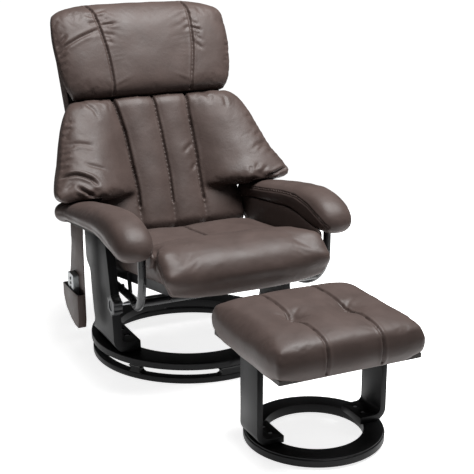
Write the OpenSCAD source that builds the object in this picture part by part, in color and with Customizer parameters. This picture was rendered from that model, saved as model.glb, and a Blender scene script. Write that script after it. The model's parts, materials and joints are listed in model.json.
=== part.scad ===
// Swivel massage recliner with a matching footstool.
// The origin is on the floor at the swivel axis, the sitter faces -Y and +Z is up.

/* [Base] */
// How far the turning ring stands out past the legs
ring_margin = 12; // [8:1:20]
// Width of the turning ring's flat top
top_ring_w = 76; // [68:2:84]
// Thickness of the turning ring
top_ring_t = 22; // [18:1:25]
// Height of the turning ring's top above the floor
base_h = 64; // [60:1:72]
// Width of the fixed floor ring
floor_ring_w = 26; // [22:1:30]
// Thickness of the fixed floor ring
floor_ring_t = 19; // [16:1:21]

/* [Legs] */
// Gap between the seat cushion and the inner face of a leg
leg_gap = 20; // [19:0.5:24]
// Thickness of the bent leg board
leg_t = 26; // [22:1:28]
// Thickness of the foot that lies on the ring
foot_t = 30; // [26:1:34]
// Reach of the foot, from the leg's outer face inwards
foot_reach = 81; // [70:1:88]
// Depth of the leg board at its waist
leg_waist = 166; // [150:2:180]
// Outer radius of the bend between leg and foot
leg_bend_r = 40; // [38:1:44]

/* [Seat] */
// Width of the seat cushion
seat_w = 484; // [468:2:486]
// Length of the seat cushion from back to front
seat_l = 516; // [500:2:524]
// Height of the seat frame's rear lower edge
seat_rear_h = 240; // [238:1:246]
// Slope of the seat frame, front edge up
seat_tilt = 9.9; // [9:0.1:11]
// Height of the seat frame's rails
rail_h = 26; // [24:1:28]
// Thickness of the seat cushion at its cross seam
seat_pad_t = 80; // [72:1:86]
// Rise of the front roll over the panel
roll_rise = 20; // [12:1:26]
// Length of the front roll
roll_l = 249; // [220:2:270]
// How much thicker the seat cushion is at the rear than at the front
seat_wedge = 33; // [24:1:38]

/* [Back] */
// Distance of the recline hinge behind the swivel axis
hinge_y = 175; // [172:1:182]
// Height of the recline hinge
hinge_h = 300; // [296:1:306]
// Lean of the back from upright with the chair at rest
back_lean = 25.5; // [24:0.5:28]
// How far the back reclines from rest
recline_max = 35; // [20:1:36]
// Length of the lower back cushion
back_l = 424; // [410:2:430]
// Gap between the lower back and the plane of the seat's sides
back_gap = 9; // [7:1:20]
// Width of the back over its wings
wing_w = 762; // [740:2:772]
// Depth of the back cushion's middle, front to board
back_pad_t = 65; // [58:1:70]
// How far the wings stand forward of the middle
wing_forward = 54; // [44:1:60]

/* [Headrest] */
// Length of the headrest along the back
head_l = 297; // [288:1:306]
// Width of the headrest at its widest
head_w = 580; // [560:2:600]
// Depth of the headrest, front to board
head_pad_t = 77; // [68:1:84]

/* [Back shell] */
// Thickness of the plywood back board
board_t = 12; // [10:1:14]
// Depth of the rear shell
shell_d = 53; // [48:1:56]
// Gap between a back bracket and the rear shell's side
shell_gap = 23; // [18:1:25]
// Wall of the rear shell
shell_wall = 5; // [4:0.5:6]

/* [Armrests] */
// Height of the armrest's underside above the floor, just in front of the leg
arm_h = 432; // [426:1:438]
// Slope of the armrest, front end up
arm_tilt = 6.3; // [5:0.1:7.5]
// Length of the armrest from rear end to nose
arm_l = 557; // [530:1:570]
// Width of the armrest
arm_w = 112; // [100:2:114]
// Depth of the armrest's padding
arm_pad_t = 75; // [64:1:76]
// Thickness of the armrest's board
arm_board_t = 12; // [10:1:14]
// Height of the padded panel under the armrest's inner edge
arm_panel_h = 75; // [66:1:80]

/* [Side tubes] */
// Outer diameter of the side tubes
tube_d = 22; // [20:1:24]
// Wall of the side tubes
tube_wall = 2; // [1.5:0.5:3]
// Height of the side tubes' run beside the seat
tube_h = 246; // [244.5:0.5:250]
// Diameter of the cross tubes
cross_d = 20; // [18:1:20]

/* [Recline lock] */
// Length of the lever from the hinge to its pin
lever_l = 76; // [75.5:0.5:78]
// Diameter of the lever's pin
lever_pin_d = 8; // [7:0.5:9]
// Thickness of the slide bar
bar_t = 5; // [4:0.5:5]
// Height of the slide bar
bar_w = 18; // [16:0.5:19]
// Outer diameter of the knob over its lobes
knob_d = 62; // [54:1:64]
// Depth of the knob
knob_t = 26; // [20:1:28]
// Distance of the knob in front of the swivel axis
knob_y = 150; // [148:1:154]
// Diameter of the knob's threaded stud
stud_d = 8; // [7:0.5:9]

/* [Pocket and remote] */
// Width of the pocket
pocket_w = 140; // [130:2:146]
// Depth of the pocket's pouch
pouch_h = 104; // [96:1:108]
// Height of the pocket's lowest point
pocket_h = 96; // [92:1:110]
// Width of the remote
remote_w = 52; // [48:1:58]
// Length of the remote
remote_l = 108; // [100:1:112]
// Thickness of the remote
remote_t = 17; // [15:1:18]
// How far the remote lifts out of the pocket
remote_lift = 110; // [80:5:125]
// Diameter of a button on the remote
button_d = 9; // [8:0.5:10]
// Travel of a button
button_travel = 1; // [0.6:0.1:1]

/* [Footstool] */
// Distance of the footstool's centre in front of the swivel axis
stool_y = 704; // [700:5:740]
// Sideways place of the footstool
stool_x = 39; // [0:1:60]
// Outer radius of the footstool's ring
stool_r = 181; // [172:1:190]
// Width of the footstool ring's flat top
stool_ring_w = 54; // [48:1:60]
// Thickness of the footstool's ring
stool_ring_t = 24; // [20:1:28]
// Height of the glides under the footstool's ring
stool_glide_h = 6; // [4:0.5:8]
// Distance between the outer faces of the footstool's legs
stool_span = 372; // [356:2:380]
// Depth of the footstool's leg boards
stool_leg_d = 95; // [84:1:104]
// Thickness of the footstool's leg boards
stool_leg_t = 16; // [14:1:18]
// Height of the footstool cushion's underside
stool_h = 251; // [240:1:280]
// Width of the footstool's cushion
stool_w = 424; // [406:2:436]
// Depth of the footstool's cushion
stool_d = 388; // [370:2:400]
// Thickness of the footstool's cushion at its edge
stool_pad_t = 81; // [70:1:88]
// Rise of the footstool's cushion over its edge
stool_crown = 28; // [18:1:34]

/* [Hidden] */
$fn = 64;
cut = 1;
fit = 0.3;
run_fit = 0.1;
soft_gap = 0.4;
brown = "#4d4240";
black_wood = "#262626";
steel = "#8f9296";
black_steel = "#1d1d1f";
black_plastic = "#202022";
silver_plastic = "#a9abad";
stained_ply = "#2f2a27";
dark_fabric = "#2b2b2d";

// Places that follow the seat's width
leg_in = seat_w/2 + leg_gap;
leg_x = leg_in + leg_t;
base_r = leg_x + ring_margin;
back_low_w = seat_w - 2*back_gap;

// Base: a fixed floor ring with six stations, and the ring that turns on them
floor_ring_inset = 4;
floor_r = base_r - floor_ring_inset;
floor_ring_mid_r = floor_r - floor_ring_w/2;
ring_round = 4;
pad_h = 3;
track_t = 2;
track_in = 6;
track_w = floor_ring_w - 2*track_in;
lip_w = 3;
lip_h = 1.2;
station_h = base_h - top_ring_t - track_t - fit - pad_h - floor_ring_t;
track_z = floor_ring_t + station_h + pad_h + fit;
station_turn_shares = [[0.25, 0.039], [0.405, 0.025], [0.595, 0.025], [0.75, 0.039], [0.905, 0.025], [0.095, 0.025]];
pad_trim_share = 0.0066;

// Legs
foot_end = leg_x - foot_reach;
foot_fillet = leg_bend_r - foot_t;
leg_top = arm_h;
leg_rise = leg_top - base_h;
leg_front_share = -0.725;
leg_front_shares = [[0, 0.01], [0.12, -0.015], [0.44, -0.087], [0.73, -0.232], [0.88, -0.325], [1, -0.395]];
leg_rear_shares = [[1, 0.675], [0.75, 0.670], [0.66, 0.662], [0.615, 0.637], [0.585, 0.58], [0.56, 0.49],
    [0.53, 0.44], [0.37, 0.385], [0.22, 0.32], [0.155, 0.277], [0.115, 0.30], [0.08, 0.36], [0.04, 0.45], [0, 0.52]];
foot_screw_r = 3.4;
foot_head_r = 6.5;
foot_head_t = 3;
foot_slot_l = 20;
foot_slot_deep = 5;
foot_screw_l = 38;
foot_screw_shares = [0.28, 0.52, 0.76];

// Side tubes, as centre lines from the armrest's board to the recline hinge
tube_r = tube_d/2;
bush_t = 3;
tube_in_x = leg_in - bush_t - tube_r;
tube_out_x = leg_in + leg_t*0.7;
tube_bend_r = 120;
bend_lap = 1;
bend_swell = 0.2;
tube_nose_y = -338;
tube_join_y = -170;
tube_end_y = 148;
arm_pivot_y = -100;
function arm_plane(y) = arm_h - (y - arm_pivot_y)*tan(arm_tilt);
tube_points = [[tube_out_x, tube_nose_y, arm_plane(tube_nose_y + tube_r) - fit], [tube_out_x, tube_nose_y, tube_h],
    [tube_in_x, tube_join_y, tube_h], [tube_in_x, tube_end_y, tube_h]];
tube_run = norm(tube_points[2] - tube_points[1]);
cross_front_y = -300;
cross_front_share = (cross_front_y - tube_nose_y)/(tube_join_y - tube_nose_y);
cross_front_x = tube_out_x + (tube_in_x - tube_out_x)*cross_front_share;
cross_front_z = tube_h + tube_bend_r - sqrt(pow(tube_bend_r, 2) - pow(tube_bend_r - tube_run*cross_front_share, 2));
cross_rear_y = 128;
cross_r = cross_d/2;
tube_inner_face = tube_in_x - tube_r;
leg_bolt_ys = [-62, 22];
leg_bolt_r = 4;
leg_bolt_head_r = 7;
leg_bolt_head_t = 4.5;
leg_bolt_deep = 18;
bush_r = 9;

// Seat, in its own frame that starts at the rear lower edge and slopes with the seat
seat_rear_y = 92;
rail_t = 18;
rail_inset_x = 12;
rail_inset_y = 10;
seat_board_t = 10;
frame_w = seat_w - 2*rail_inset_x;
frame_l = seat_l - 3*rail_inset_y;
seat_front_drop = 36;
seat_side_drop = 11;
seat_rear_drop = 10;
dust_t = 1.2;
tab_w = 14;
tab_ys = [-118, 66];
tab_t = tube_inner_face - frame_w/2;
tab_reach = 5;
saddle_w = 34;
saddle_x_share = 0.62;
seat_motor_r = 31;
motor_h = 20;
motor_ear_r = 5;
motor_ear_t = 3;
seat_motor_x = 96;
seat_motor_y = -190;
box_w = 120;
box_l = 66;
box_h = 20;
box_y = -76;
box_wall = 2;
inlet_r = 5.5;
inlet_bore_r = 2.8;
inlet_pin_r = 1;
inlet_deep = 9;
inlet_x = 30;

// Back, in its own frame that starts at the hinge and leans with the back
board_y = -42;
pad_start = 8;
head_gap = 6;
head_start = pad_start + back_l + head_gap;
shell_start = 42;
shell_below = 40;
shell_top = head_start + head_l - shell_below;
shell_corner = 40;
back_motor_r = 31;
back_motor_x = 88;
back_motor_zs = [128, 318];
cushion_roll = 12;

// Recline hinge and lock
hinge_plate_t = 5;
hinge_eye_r = 16;
hinge_pin_r = 5;
hinge_head_r = 8.5;
hinge_head_t = 4;
plate_gap = 6;
bracket_t = 5;
bracket_x = tube_inner_face - hinge_plate_t - plate_gap;
board_w = 2*(bracket_x + shell_gap - fit);
shell_w = board_w + 2*fit + 2*shell_wall;
bracket_foot_w = 34;
bracket_foot_t = 4;
bracket_from = 34;
bracket_to = 118;
bracket_top_w = 16;
lever_half = recline_max/2;
lever_w = 18;
lever_clear = 0.5;
bar_h = hinge_h - lever_l*(1 + cos(lever_half))/2;
bar_x = bracket_x + fit;
bar_travel = 2*lever_l*sin(lever_half);
yoke_rise = lever_l*(1 - cos(lever_half));
pin_rest_y = hinge_y + lever_l*sin(lever_half);
bar_end = 8;
bar_nose = 20;
bar_rear = pin_rest_y + lever_pin_d/2 + bar_end;
bar_front = -knob_y - bar_nose;
cheek_t = 3.6;
cheek_gap = 0.4;
guide_l = 40;
guide_floor_t = 3;
nut_t = 6;
nut_r = 7.5;
knob_lobes = 6;
knob_lobe_share = 0.2;
knob_body_share = 0.84;
knob_gap = 20;
knob_bezel_t = 2;
knob_bezel_share = 0.7;
knob_cap_t = 2.5;
knob_in_x = tube_inner_face + tube_d + knob_gap;
stud_tail = 14;
stud_end = bar_x - stud_tail;
stud_in = 14;
guide_drop = 1;
pin_tail = 2;
pin_head_t = 3;
pin_head_w = 2;

// Armrests
arm_gap = 3;
arm_mid_x = seat_w/2 + arm_gap + arm_w/2;
arm_rear_y = 172;
arm_stations_shares = [
    [0, 0.26, 0.10, 0.34, 0], [0.006, 0.265, 0.19, 0.43, 0], [0.02, 0.28, 0.265, 0.47, 0],
    [0.05, 0.30, 0.30, 0.485, 0], [0.12, 0.35, 0.35, 0.5, 0], [0.22, 0.395, 0.395, 0.5, 0],
    [0.34, 0.43, 0.43, 0.5, 0], [0.48, 0.465, 0.465, 0.5, 0], [0.60, 0.48, 0.50, 0.5, 4],
    [0.70, 0.41, 0.60, 0.495, 14], [0.785, 0.25, 0.70, 0.49, 30], [0.857, 0.06, 0.72, 0.485, 48],
    [0.900, -0.14, 0.68, 0.48, 65], [0.915, -0.34, 0.58, 0.46, 82], [0.915, -0.50, 0.46, 0.40, 92],
    [0.910, -0.60, 0.28, 0.27, 95]];
arm_ring_n = 20;
arm_square = 3;
arm_board_in = 15;
arm_board_rear_in = 35;
arm_board_front_in = 40;
arm_board_w = arm_w - 2*arm_board_in;
arm_board_l = arm_l - arm_board_rear_in - arm_board_front_in;
arm_board_rear = arm_rear_y - arm_board_rear_in;
arm_panel_t = 14;
arm_panel_in = seat_w/2 + arm_gap + soft_gap;
arm_panel_shares = [[0.012, 0.05], [0.595, 0.02], [0.68, -0.14], [0.738, -0.32], [0.785, -0.39], [0.84, -0.40],
    [0.853, -0.46], [0.87, -0.55], [0.875, -0.70], [0.865, -0.90], [0.84, -1], [0.06, -1], [0.045, -0.7],
    [0.028, -0.45], [0.014, -0.2]];

// Pocket and remote on the sitter's right
pocket_out = 32;
pocket_x = leg_x + pocket_out;
panel_t = 3;
pouch_wall = 2;
pouch_out = remote_t + 2*soft_gap + 2*pouch_wall;
pocket_front_y = 36;
panel_front_shares = [[1, 0], [0.62, 0.01], [0.42, 0.02], [0.30, 0.01], [0.08, 0], [0, 0.04]];
panel_rear_shares = [[0, 0.26], [0.03, 0.52], [0.10, 0.84], [0.20, 1], [0.34, 1.02], [0.50, 0.90], [0.70, 0.80], [1, 0.78]];
remote_mid_share = 0.56;
remote_y = pocket_front_y + pocket_w*remote_mid_share;
remote_floor = 42;
remote_z = pocket_h + remote_floor;
pouch_side = 6;
pouch_edge = 4;
button_pitch = 14;
button_deep = 5;
remote_shell_t = 1.6;
remote_round = 7;
button_rise = 1.4;
button_flange = 0.8;
button_flange_t = 1;
button_n = 5;
button_from_top = 16;

// Footstool
stool_ring_top = stool_glide_h + stool_ring_t;
stool_foot_reach = 75;
stool_bend_r = 34;
stool_foot_t = 18;
stool_fillet = stool_bend_r - stool_foot_t;
stool_leg_in = stool_span/2 - stool_leg_t;
stool_board_t = 12;
stool_board_inset = 16;
stool_glide_r = 11;
stool_glide_n = 6;
stool_step = 3;
cleat_w = 24;
cleat_h = 20;
stool_screw_r = 2.6;
stool_head_r = 5;
stool_head_t = 2.5;
stool_screw_l = 30;
stool_screw_shares = [0.3, 0.7];
stool_seam_share = 0.37;
channel_d = 7;
tuft_d = 14;

// Vector helpers
function unit(v) = v/norm(v);
function arc(x, y, r, from, to, n) = [for (i = [0:n]) let (a = from + (to - from)*i/n) [x + r*cos(a), y + r*sin(a)]];
function bump(x, width) = exp(-pow(x/width, 2));
function power(x, e) = sign(x)*pow(abs(x), e);
function flat_dome(u, e) = 1 - pow(abs(u), e);
function ease(t) = let (c = max(0, min(1, t))) c*c*(3 - 2*c);

module both_sides() {
    children();
    mirror([1, 0, 0]) children();
}

// Ring of rectangular section, outer radius r, resting at z = 0
module flat_ring(r, w, t) {
    difference() {
        cylinder(r = r, h = t);
        translate([0, 0, -cut]) cylinder(r = r - w, h = t + 2*cut);
    }
}

// Ring whose top and bottom outer edges are rounded
module soft_edged_ring(r, w, t, round) {
    rotate_extrude() {
        translate([r - w, 0]) square([w - round, t]);
        translate([r - round, round]) square([round, t - 2*round]);
        translate([r - round, round]) circle(round);
        translate([r - round, t - round]) circle(round);
    }
}

// Part of a ring between two angles
module ring_part(r, w, t, middle, span) {
    rotate([0, 0, middle - span/2]) rotate_extrude(angle = span) translate([r - w, 0]) square([w, t]);
}

// Round bar along a list of points, with a bore where one is given; its bends are a hair thicker and take in the ends
module bent_bar(points, r, bend, bore = 0) {
    n = len(points);
    trims = [for (i = [0:n - 1]) i == 0 || i == n - 1 ? 0 :
        let (a = unit(points[i] - points[i - 1]), b = unit(points[i + 1] - points[i])) bend*tan(acos(a*b)/2)];
    for (i = [0:n - 2]) {
        along = unit(points[i + 1] - points[i]);
        from = trims[i] - (i > 0 ? bend_lap : 0);
        start = points[i] + along*from;
        length = norm(points[i + 1] - points[i]) - from - trims[i + 1] + (i < n - 2 ? bend_lap : 0);
        side = unit(cross(along, abs(along[2]) > 0.9 ? [1, 0, 0] : [0, 0, 1]));
        up = cross(along, side);
        multmatrix([[side[0], up[0], along[0], start[0]], [side[1], up[1], along[1], start[1]],
            [side[2], up[2], along[2], start[2]], [0, 0, 0, 1]]) difference() {
                cylinder(r = r, h = length);
                if (bore > 0) translate([0, 0, -cut]) cylinder(r = bore, h = length + 2*cut);
            }
    }
    for (i = [1:1:n - 2]) {
        a = unit(points[i] - points[i - 1]);
        b = unit(points[i + 1] - points[i]);
        inward = unit(b - a*(a*b));
        axis = cross(a, inward);
        centre = points[i] - a*trims[i] + inward*bend;
        multmatrix([[-inward[0], a[0], axis[0], centre[0]], [-inward[1], a[1], axis[1], centre[1]],
            [-inward[2], a[2], axis[2], centre[2]], [0, 0, 0, 1]])
            rotate_extrude(angle = acos(a*b)) translate([bend, 0]) difference() {
                circle(r + bend_swell);
                if (bore > 0) circle(bore - bend_swell);
            }
    }
}

// Closed padded solid: a grid of top points, rows of side points and one flat base
module padded(us, vs, top, base, rows, side) {
    nu = len(us);
    nv = len(vs);
    grid = [for (v = vs) for (u = us) top(u, v)];
    loop = concat([for (i = [0:nu - 2]) [us[i], vs[0]]], [for (j = [0:nv - 2]) [us[nu - 1], vs[j]]],
        [for (i = [nu - 1:-1:1]) [us[i], vs[nv - 1]]], [for (j = [nv - 1:-1:1]) [us[0], vs[j]]]);
    loop_ids = concat([for (i = [0:nu - 2]) i], [for (j = [0:nv - 2]) j*nu + nu - 1],
        [for (i = [nu - 1:-1:1]) (nv - 1)*nu + i], [for (j = [nv - 1:-1:1]) j*nu]);
    m = len(loop);
    walls = [for (k = [1:rows]) for (p = loop) side(top(p[0], p[1]), base(p[0], p[1]), p, k/rows)];
    ring = function (k, i) k == 0 ? loop_ids[i%m] : nu*nv + (k - 1)*m + i%m;
    tops = [for (j = [0:nv - 2]) for (i = [0:nu - 2]) let (a = j*nu + i)
        each [[a, a + nu, a + nu + 1], [a, a + nu + 1, a + 1]]];
    sides = [for (k = [0:rows - 1]) for (i = [0:m - 1])
        each [[ring(k, i), ring(k, i + 1), ring(k + 1, i + 1)], [ring(k, i), ring(k + 1, i + 1), ring(k + 1, i)]]];
    hub = nu*nv + rows*m;
    middle = base((us[0] + us[nu - 1])/2, (vs[0] + vs[nv - 1])/2);
    under = [for (i = [0:m - 1]) [hub, ring(rows, i), ring(rows, i + 1)]];
    polyhedron(points = concat(grid, walls, [middle]), faces = concat(tops, sides, under));
}

// Closed solid through a list of rings with equal numbers of points
module ring_loft(rings) {
    n = len(rings[0]);
    m = len(rings);
    sides = [for (k = [0:m - 2]) for (i = [0:n - 1]) let (a = k*n + i, b = k*n + (i + 1)%n)
        each [[a, b, b + n], [a, b + n, a + n]]];
    ends = [[for (i = [n - 1:-1:0]) i], [for (i = [0:n - 1]) (m - 1)*n + i]];
    polyhedron(points = [for (r = rings) each r], faces = concat(sides, ends));
}

// Base
module floor_ring() {
    color(black_wood) flat_ring(floor_r, floor_ring_w, floor_ring_t);
}

module ring_stations() {
    color(black_wood) for (s = station_turn_shares*360) difference() {
        translate([0, 0, floor_ring_t]) ring_part(floor_r, floor_ring_w, station_h, s[0], s[1]);
        for (end = [-1, 1]) rotate([0, 0, s[0] + end*s[1]/2])
            translate([floor_r - floor_ring_w - cut, 0, floor_ring_t + station_h/2])
            rotate([0, 90, 0]) cylinder(d = station_h - 2*fit, h = floor_ring_w + 3*cut);
    }
}

module slide_pads() {
    color(black_plastic) for (s = [for (t = station_turn_shares) [t[0], t[1] - pad_trim_share]*360]) {
        translate([0, 0, floor_ring_t + station_h]) ring_part(floor_r, floor_ring_w, pad_h, s[0], s[1]);
        for (r = [floor_ring_mid_r + track_w/2 + fit + lip_w, floor_ring_mid_r - track_w/2 - fit])
            translate([0, 0, floor_ring_t + station_h]) ring_part(r, lip_w, pad_h + lip_h, s[0], s[1]);
    }
}

module swivel_track() {
    color(steel) translate([0, 0, track_z]) flat_ring(floor_ring_mid_r + track_w/2, track_w, track_t);
}

module turning_ring() {
    color(black_wood) difference() {
        translate([0, 0, base_h - top_ring_t]) soft_edged_ring(base_r, top_ring_w, top_ring_t, ring_round);
        foot_screw_places() translate([0, 0, base_h + foot_t - foot_slot_deep - foot_screw_l])
            cylinder(r = foot_screw_r, h = foot_screw_l);
    }
}

// Legs: a bent board, cut to a side outline that leans back and flares
function leg_side(shares) = [for (s = shares) [leg_waist*s[1], base_h + leg_rise*s[0]]];
function leg_outline() = concat(
    [for (s = leg_front_shares) [leg_waist*(leg_front_share - s[1]), base_h + leg_rise*s[0]]], leg_side(leg_rear_shares));

module leg_section() {
    difference() {
        union() {
            translate([leg_in, base_h + leg_bend_r]) square([leg_t, leg_rise - leg_bend_r]);
            translate([foot_end, base_h]) square([foot_reach - leg_bend_r, foot_t]);
            intersection() {
                translate([leg_x - leg_bend_r, base_h + leg_bend_r]) circle(leg_bend_r);
                translate([leg_x - leg_bend_r, base_h]) square([leg_bend_r, leg_bend_r]);
            }
        }
        translate([leg_x - leg_bend_r - cut, base_h + foot_t])
            square([leg_bend_r - leg_t - foot_fillet + cut, foot_fillet + cut]);
        translate([leg_in - foot_fillet, base_h + leg_bend_r]) circle(foot_fillet);
    }
}

module foot_screw_places() {
    foot_x = foot_end + (foot_reach - leg_bend_r)/2;
    front = leg_waist*(leg_front_share - leg_front_shares[0][1]);
    depth = leg_waist*leg_rear_shares[len(leg_rear_shares) - 1][1] - front;
    both_sides() for (s = foot_screw_shares) translate([foot_x, front + depth*s, 0]) children();
}

module leg() {
    difference() {
        intersection() {
            rotate([90, 0, 0]) linear_extrude(2*leg_waist, center = true) leg_section();
            translate([foot_end - cut, 0, 0]) rotate([90, 0, 90]) linear_extrude(foot_reach + 2*cut)
                polygon(leg_outline());
        }
        foot_screw_places() {
            translate([0, 0, base_h - cut]) cylinder(r = foot_screw_r, h = foot_t + 2*cut);
            translate([-foot_slot_l/2, 0, base_h + foot_t - foot_slot_deep])
                slot_block(foot_slot_l, foot_head_r, foot_slot_deep + cut);
        }
        for (y = leg_bolt_ys) translate([leg_in - cut, y, tube_h]) rotate([0, 90, 0])
            cylinder(r = leg_bolt_r, h = leg_bolt_deep + cut);
        on_arm() translate([0, -arm_l, -fit]) cube([2*leg_x, 2*arm_l, leg_rise]);
    }
}

// Upright slot of half width r and length l along X, from x = 0
module slot_block(l, r, h) {
    translate([r, 0, 0]) cylinder(r = r, h = h);
    translate([l - r, 0, 0]) cylinder(r = r, h = h);
    translate([r, -r, 0]) cube([l - 2*r, 2*r, h]);
}

module leg_left() {
    color(black_wood) leg();
}

module leg_right() {
    color(black_wood) mirror([1, 0, 0]) leg();
}

module foot_screws() {
    color(steel) foot_screw_places() translate([0, 0, base_h + foot_t - foot_slot_deep]) {
        cylinder(r = foot_head_r - fit, h = foot_head_t);
        translate([0, 0, fit - foot_screw_l]) cylinder(r = foot_screw_r, h = foot_screw_l - fit);
    }
}

// Side tubes and what joins them
module side_tube() {
    difference() {
        bent_bar(tube_points, tube_r, tube_bend_r, tube_r - tube_wall);
        for (y = leg_bolt_ys) translate([tube_inner_face - cut, y, tube_h]) rotate([0, 90, 0])
            cylinder(r = leg_bolt_r, h = tube_d + 2*cut);
    }
}

module side_tube_left() {
    color(black_steel) side_tube();
}

module side_tube_right() {
    color(black_steel) mirror([1, 0, 0]) side_tube();
}

module cross_tubes() {
    color(black_steel) for (p = [[cross_front_x, cross_front_y, cross_front_z], [tube_in_x, cross_rear_y, tube_h]])
        difference() {
            translate([-p[0], p[1], p[2]]) rotate([0, 90, 0]) cylinder(r = cross_r, h = 2*p[0]);
            translate([-p[0] - cut, p[1], p[2]]) rotate([0, 90, 0]) cylinder(r = cross_r - tube_wall, h = 2*p[0] + 2*cut);
            both_sides() bent_bar(tube_points, tube_r, tube_bend_r);
        }
}

module leg_bushes() {
    color(black_plastic) both_sides() for (y = leg_bolt_ys) difference() {
        translate([tube_in_x, y, tube_h]) rotate([0, 90, 0]) cylinder(r = bush_r, h = leg_in - tube_in_x);
        translate([tube_in_x, y - 2*bush_r, tube_h]) rotate([-90, 0, 0]) cylinder(r = tube_r, h = 4*bush_r);
        translate([tube_in_x - cut, y, tube_h]) rotate([0, 90, 0]) cylinder(r = leg_bolt_r + run_fit, h = bush_r*3);
    }
}

module leg_bolts() {
    color(steel) both_sides() for (y = leg_bolt_ys) translate([tube_inner_face, y, tube_h]) rotate([0, 90, 0]) {
        translate([0, 0, -leg_bolt_head_t]) cylinder(r = leg_bolt_head_r, h = leg_bolt_head_t);
        cylinder(r = leg_bolt_r - run_fit, h = leg_in - tube_inner_face + leg_bolt_deep - run_fit);
    }
}

// Seat, drawn in the sloping frame
module on_seat() {
    translate([0, seat_rear_y, seat_rear_h]) rotate([-seat_tilt, 0, 0]) children();
}

// Height above the sloping frame of a point at y, z in the room
function seat_drop(y, z) = (z - seat_rear_h)*cos(seat_tilt) + (y - seat_rear_y)*sin(seat_tilt);
function seat_along(y, z) = (y - seat_rear_y)*cos(seat_tilt) - (z - seat_rear_h)*sin(seat_tilt);

module seat_rails() {
    color(black_wood) on_seat() {
        both_sides() translate([frame_w/2 - rail_t, -rail_inset_y - frame_l, 0]) cube([rail_t, frame_l, rail_h]);
        translate([rail_t - frame_w/2 + run_fit, -rail_inset_y - frame_l, 0])
            cube([frame_w - 2*rail_t - 2*run_fit, rail_t, rail_h]);
        difference() {
            translate([rail_t - frame_w/2 + run_fit, -rail_inset_y - rail_t, 0])
                cube([frame_w - 2*rail_t - 2*run_fit, rail_t, rail_h]);
            translate([inlet_x, -rail_inset_y - rail_t - cut, rail_h - box_h/2]) rotate([-90, 0, 0])
                cylinder(r = inlet_r + run_fit, h = rail_t + 2*cut);
        }
    }
}

module seat_board() {
    color(stained_ply) on_seat() translate([-frame_w/2, -rail_inset_y - frame_l, rail_h])
        cube([frame_w, frame_l, seat_board_t]);
}

module seat_tabs() {
    color(black_steel) both_sides() for (y = tab_ys) on_seat()
        translate([frame_w/2, seat_along(y, tube_h) - tab_w/2, seat_drop(y, tube_h) - tab_reach])
        cube([tab_t, tab_w, rail_h - fit*4 - seat_drop(y, tube_h) + tab_reach]);
}

module seat_saddles() {
    x = frame_w/2*saddle_x_share;
    along = seat_along(cross_front_y, cross_front_z);
    drop = seat_drop(cross_front_y, cross_front_z);
    color(black_steel) both_sides() on_seat() difference() {
        translate([x - saddle_w/2, along - cross_r, drop]) cube([saddle_w, cross_d, -drop - dust_t]);
        translate([x - saddle_w, along, drop]) rotate([0, 90, 0]) cylinder(r = cross_r, h = 2*saddle_w);
    }
}

module dust_cover() {
    color(dark_fabric) on_seat() difference() {
        translate([-frame_w/2, -rail_inset_y - frame_l, -dust_t]) cube([frame_w, frame_l, dust_t]);
        both_sides() for (y = tab_ys) translate([frame_w/2, seat_along(y, tube_h) - tab_w, -2*dust_t])
            cube([tab_t, 2*tab_w, 4*dust_t]);
    }
}

// Round motor can with three ears, hung from z = 0 downwards
module motor_can(r) {
    translate([0, 0, -motor_h]) cylinder(r = r, h = motor_h);
    for (a = [0, 120, 240]) rotate([0, 0, a]) translate([r, 0, -motor_ear_t]) cylinder(r = motor_ear_r, h = motor_ear_t);
}

module seat_motors() {
    color(black_plastic) on_seat() both_sides() translate([seat_motor_x, seat_motor_y, rail_h]) motor_can(seat_motor_r);
}

module control_box() {
    color(black_plastic) on_seat() translate([0, box_y, rail_h - box_h]) difference() {
        translate([-box_w/2, -box_l/2, 0]) cube([box_w, box_l, box_h]);
        translate([box_wall - box_w/2, box_wall - box_l/2, box_wall])
            cube([box_w - 2*box_wall, box_l - 2*box_wall, box_h]);
        translate([inlet_x, box_l/2 - 2*box_wall, box_h/2]) rotate([-90, 0, 0])
            cylinder(r = inlet_r + run_fit, h = 3*box_wall);
    }
}

module power_inlet() {
    from = box_y + box_l/2 - 2*box_wall;
    color(black_plastic) on_seat() translate([inlet_x, 0, rail_h - box_h/2]) rotate([-90, 0, 0]) {
        difference() {
            translate([0, 0, from]) cylinder(r = inlet_r, h = -rail_inset_y - from);
            translate([0, 0, -rail_inset_y - inlet_deep]) cylinder(r = inlet_bore_r, h = inlet_deep + cut);
        }
        translate([0, 0, -rail_inset_y - inlet_deep]) cylinder(r = inlet_pin_r, h = inlet_deep - cut);
    }
}

// Seat cushion: a flat rear panel with a middle seam, a cross seam and a full front roll
seat_us_shares = [-1, -0.95, -0.86, -0.7, -0.5, -0.3, -0.14, -0.05, 0, 0.05, 0.14, 0.3, 0.5, 0.7, 0.86, 0.95, 1];
seat_vs_shares = [0, 0.03, 0.09, 0.17, 0.26, 0.34, 0.41, 0.45, 0.4825, 0.515, 0.55, 0.62, 0.72, 0.82, 0.9, 0.96, 1];
seat_seam_share = roll_l/seat_l;
seat_seam_deep = 13;
seat_middle_deep = 6;
seat_base_in = 13;
seat_toe_in = 8;
seat_rear_in = 30;
seat_bulge = 8;
seat_front_bulge = 15;
function seat_height(u, v) =
    let (back = ease((v - seat_seam_share)/0.04), roll = v < seat_seam_share ? sin(180*pow(v/seat_seam_share, 0.8)) : 0)
    seat_pad_t + seat_wedge*(v - seat_seam_share) + roll_rise*(1 - back)*roll
    - seat_front_drop*pow(1 - min(1, v/0.16), 2) - seat_side_drop*pow(abs(u), 9)
    - seat_seam_deep*bump(v - seat_seam_share, 0.02)*(1 - 0.4*u*u)
    - seat_middle_deep*bump(u, 0.035)*ease((v - 0.5)/0.06) - seat_rear_drop*pow(max(0, (v - 0.88)/0.12), 2);
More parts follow.
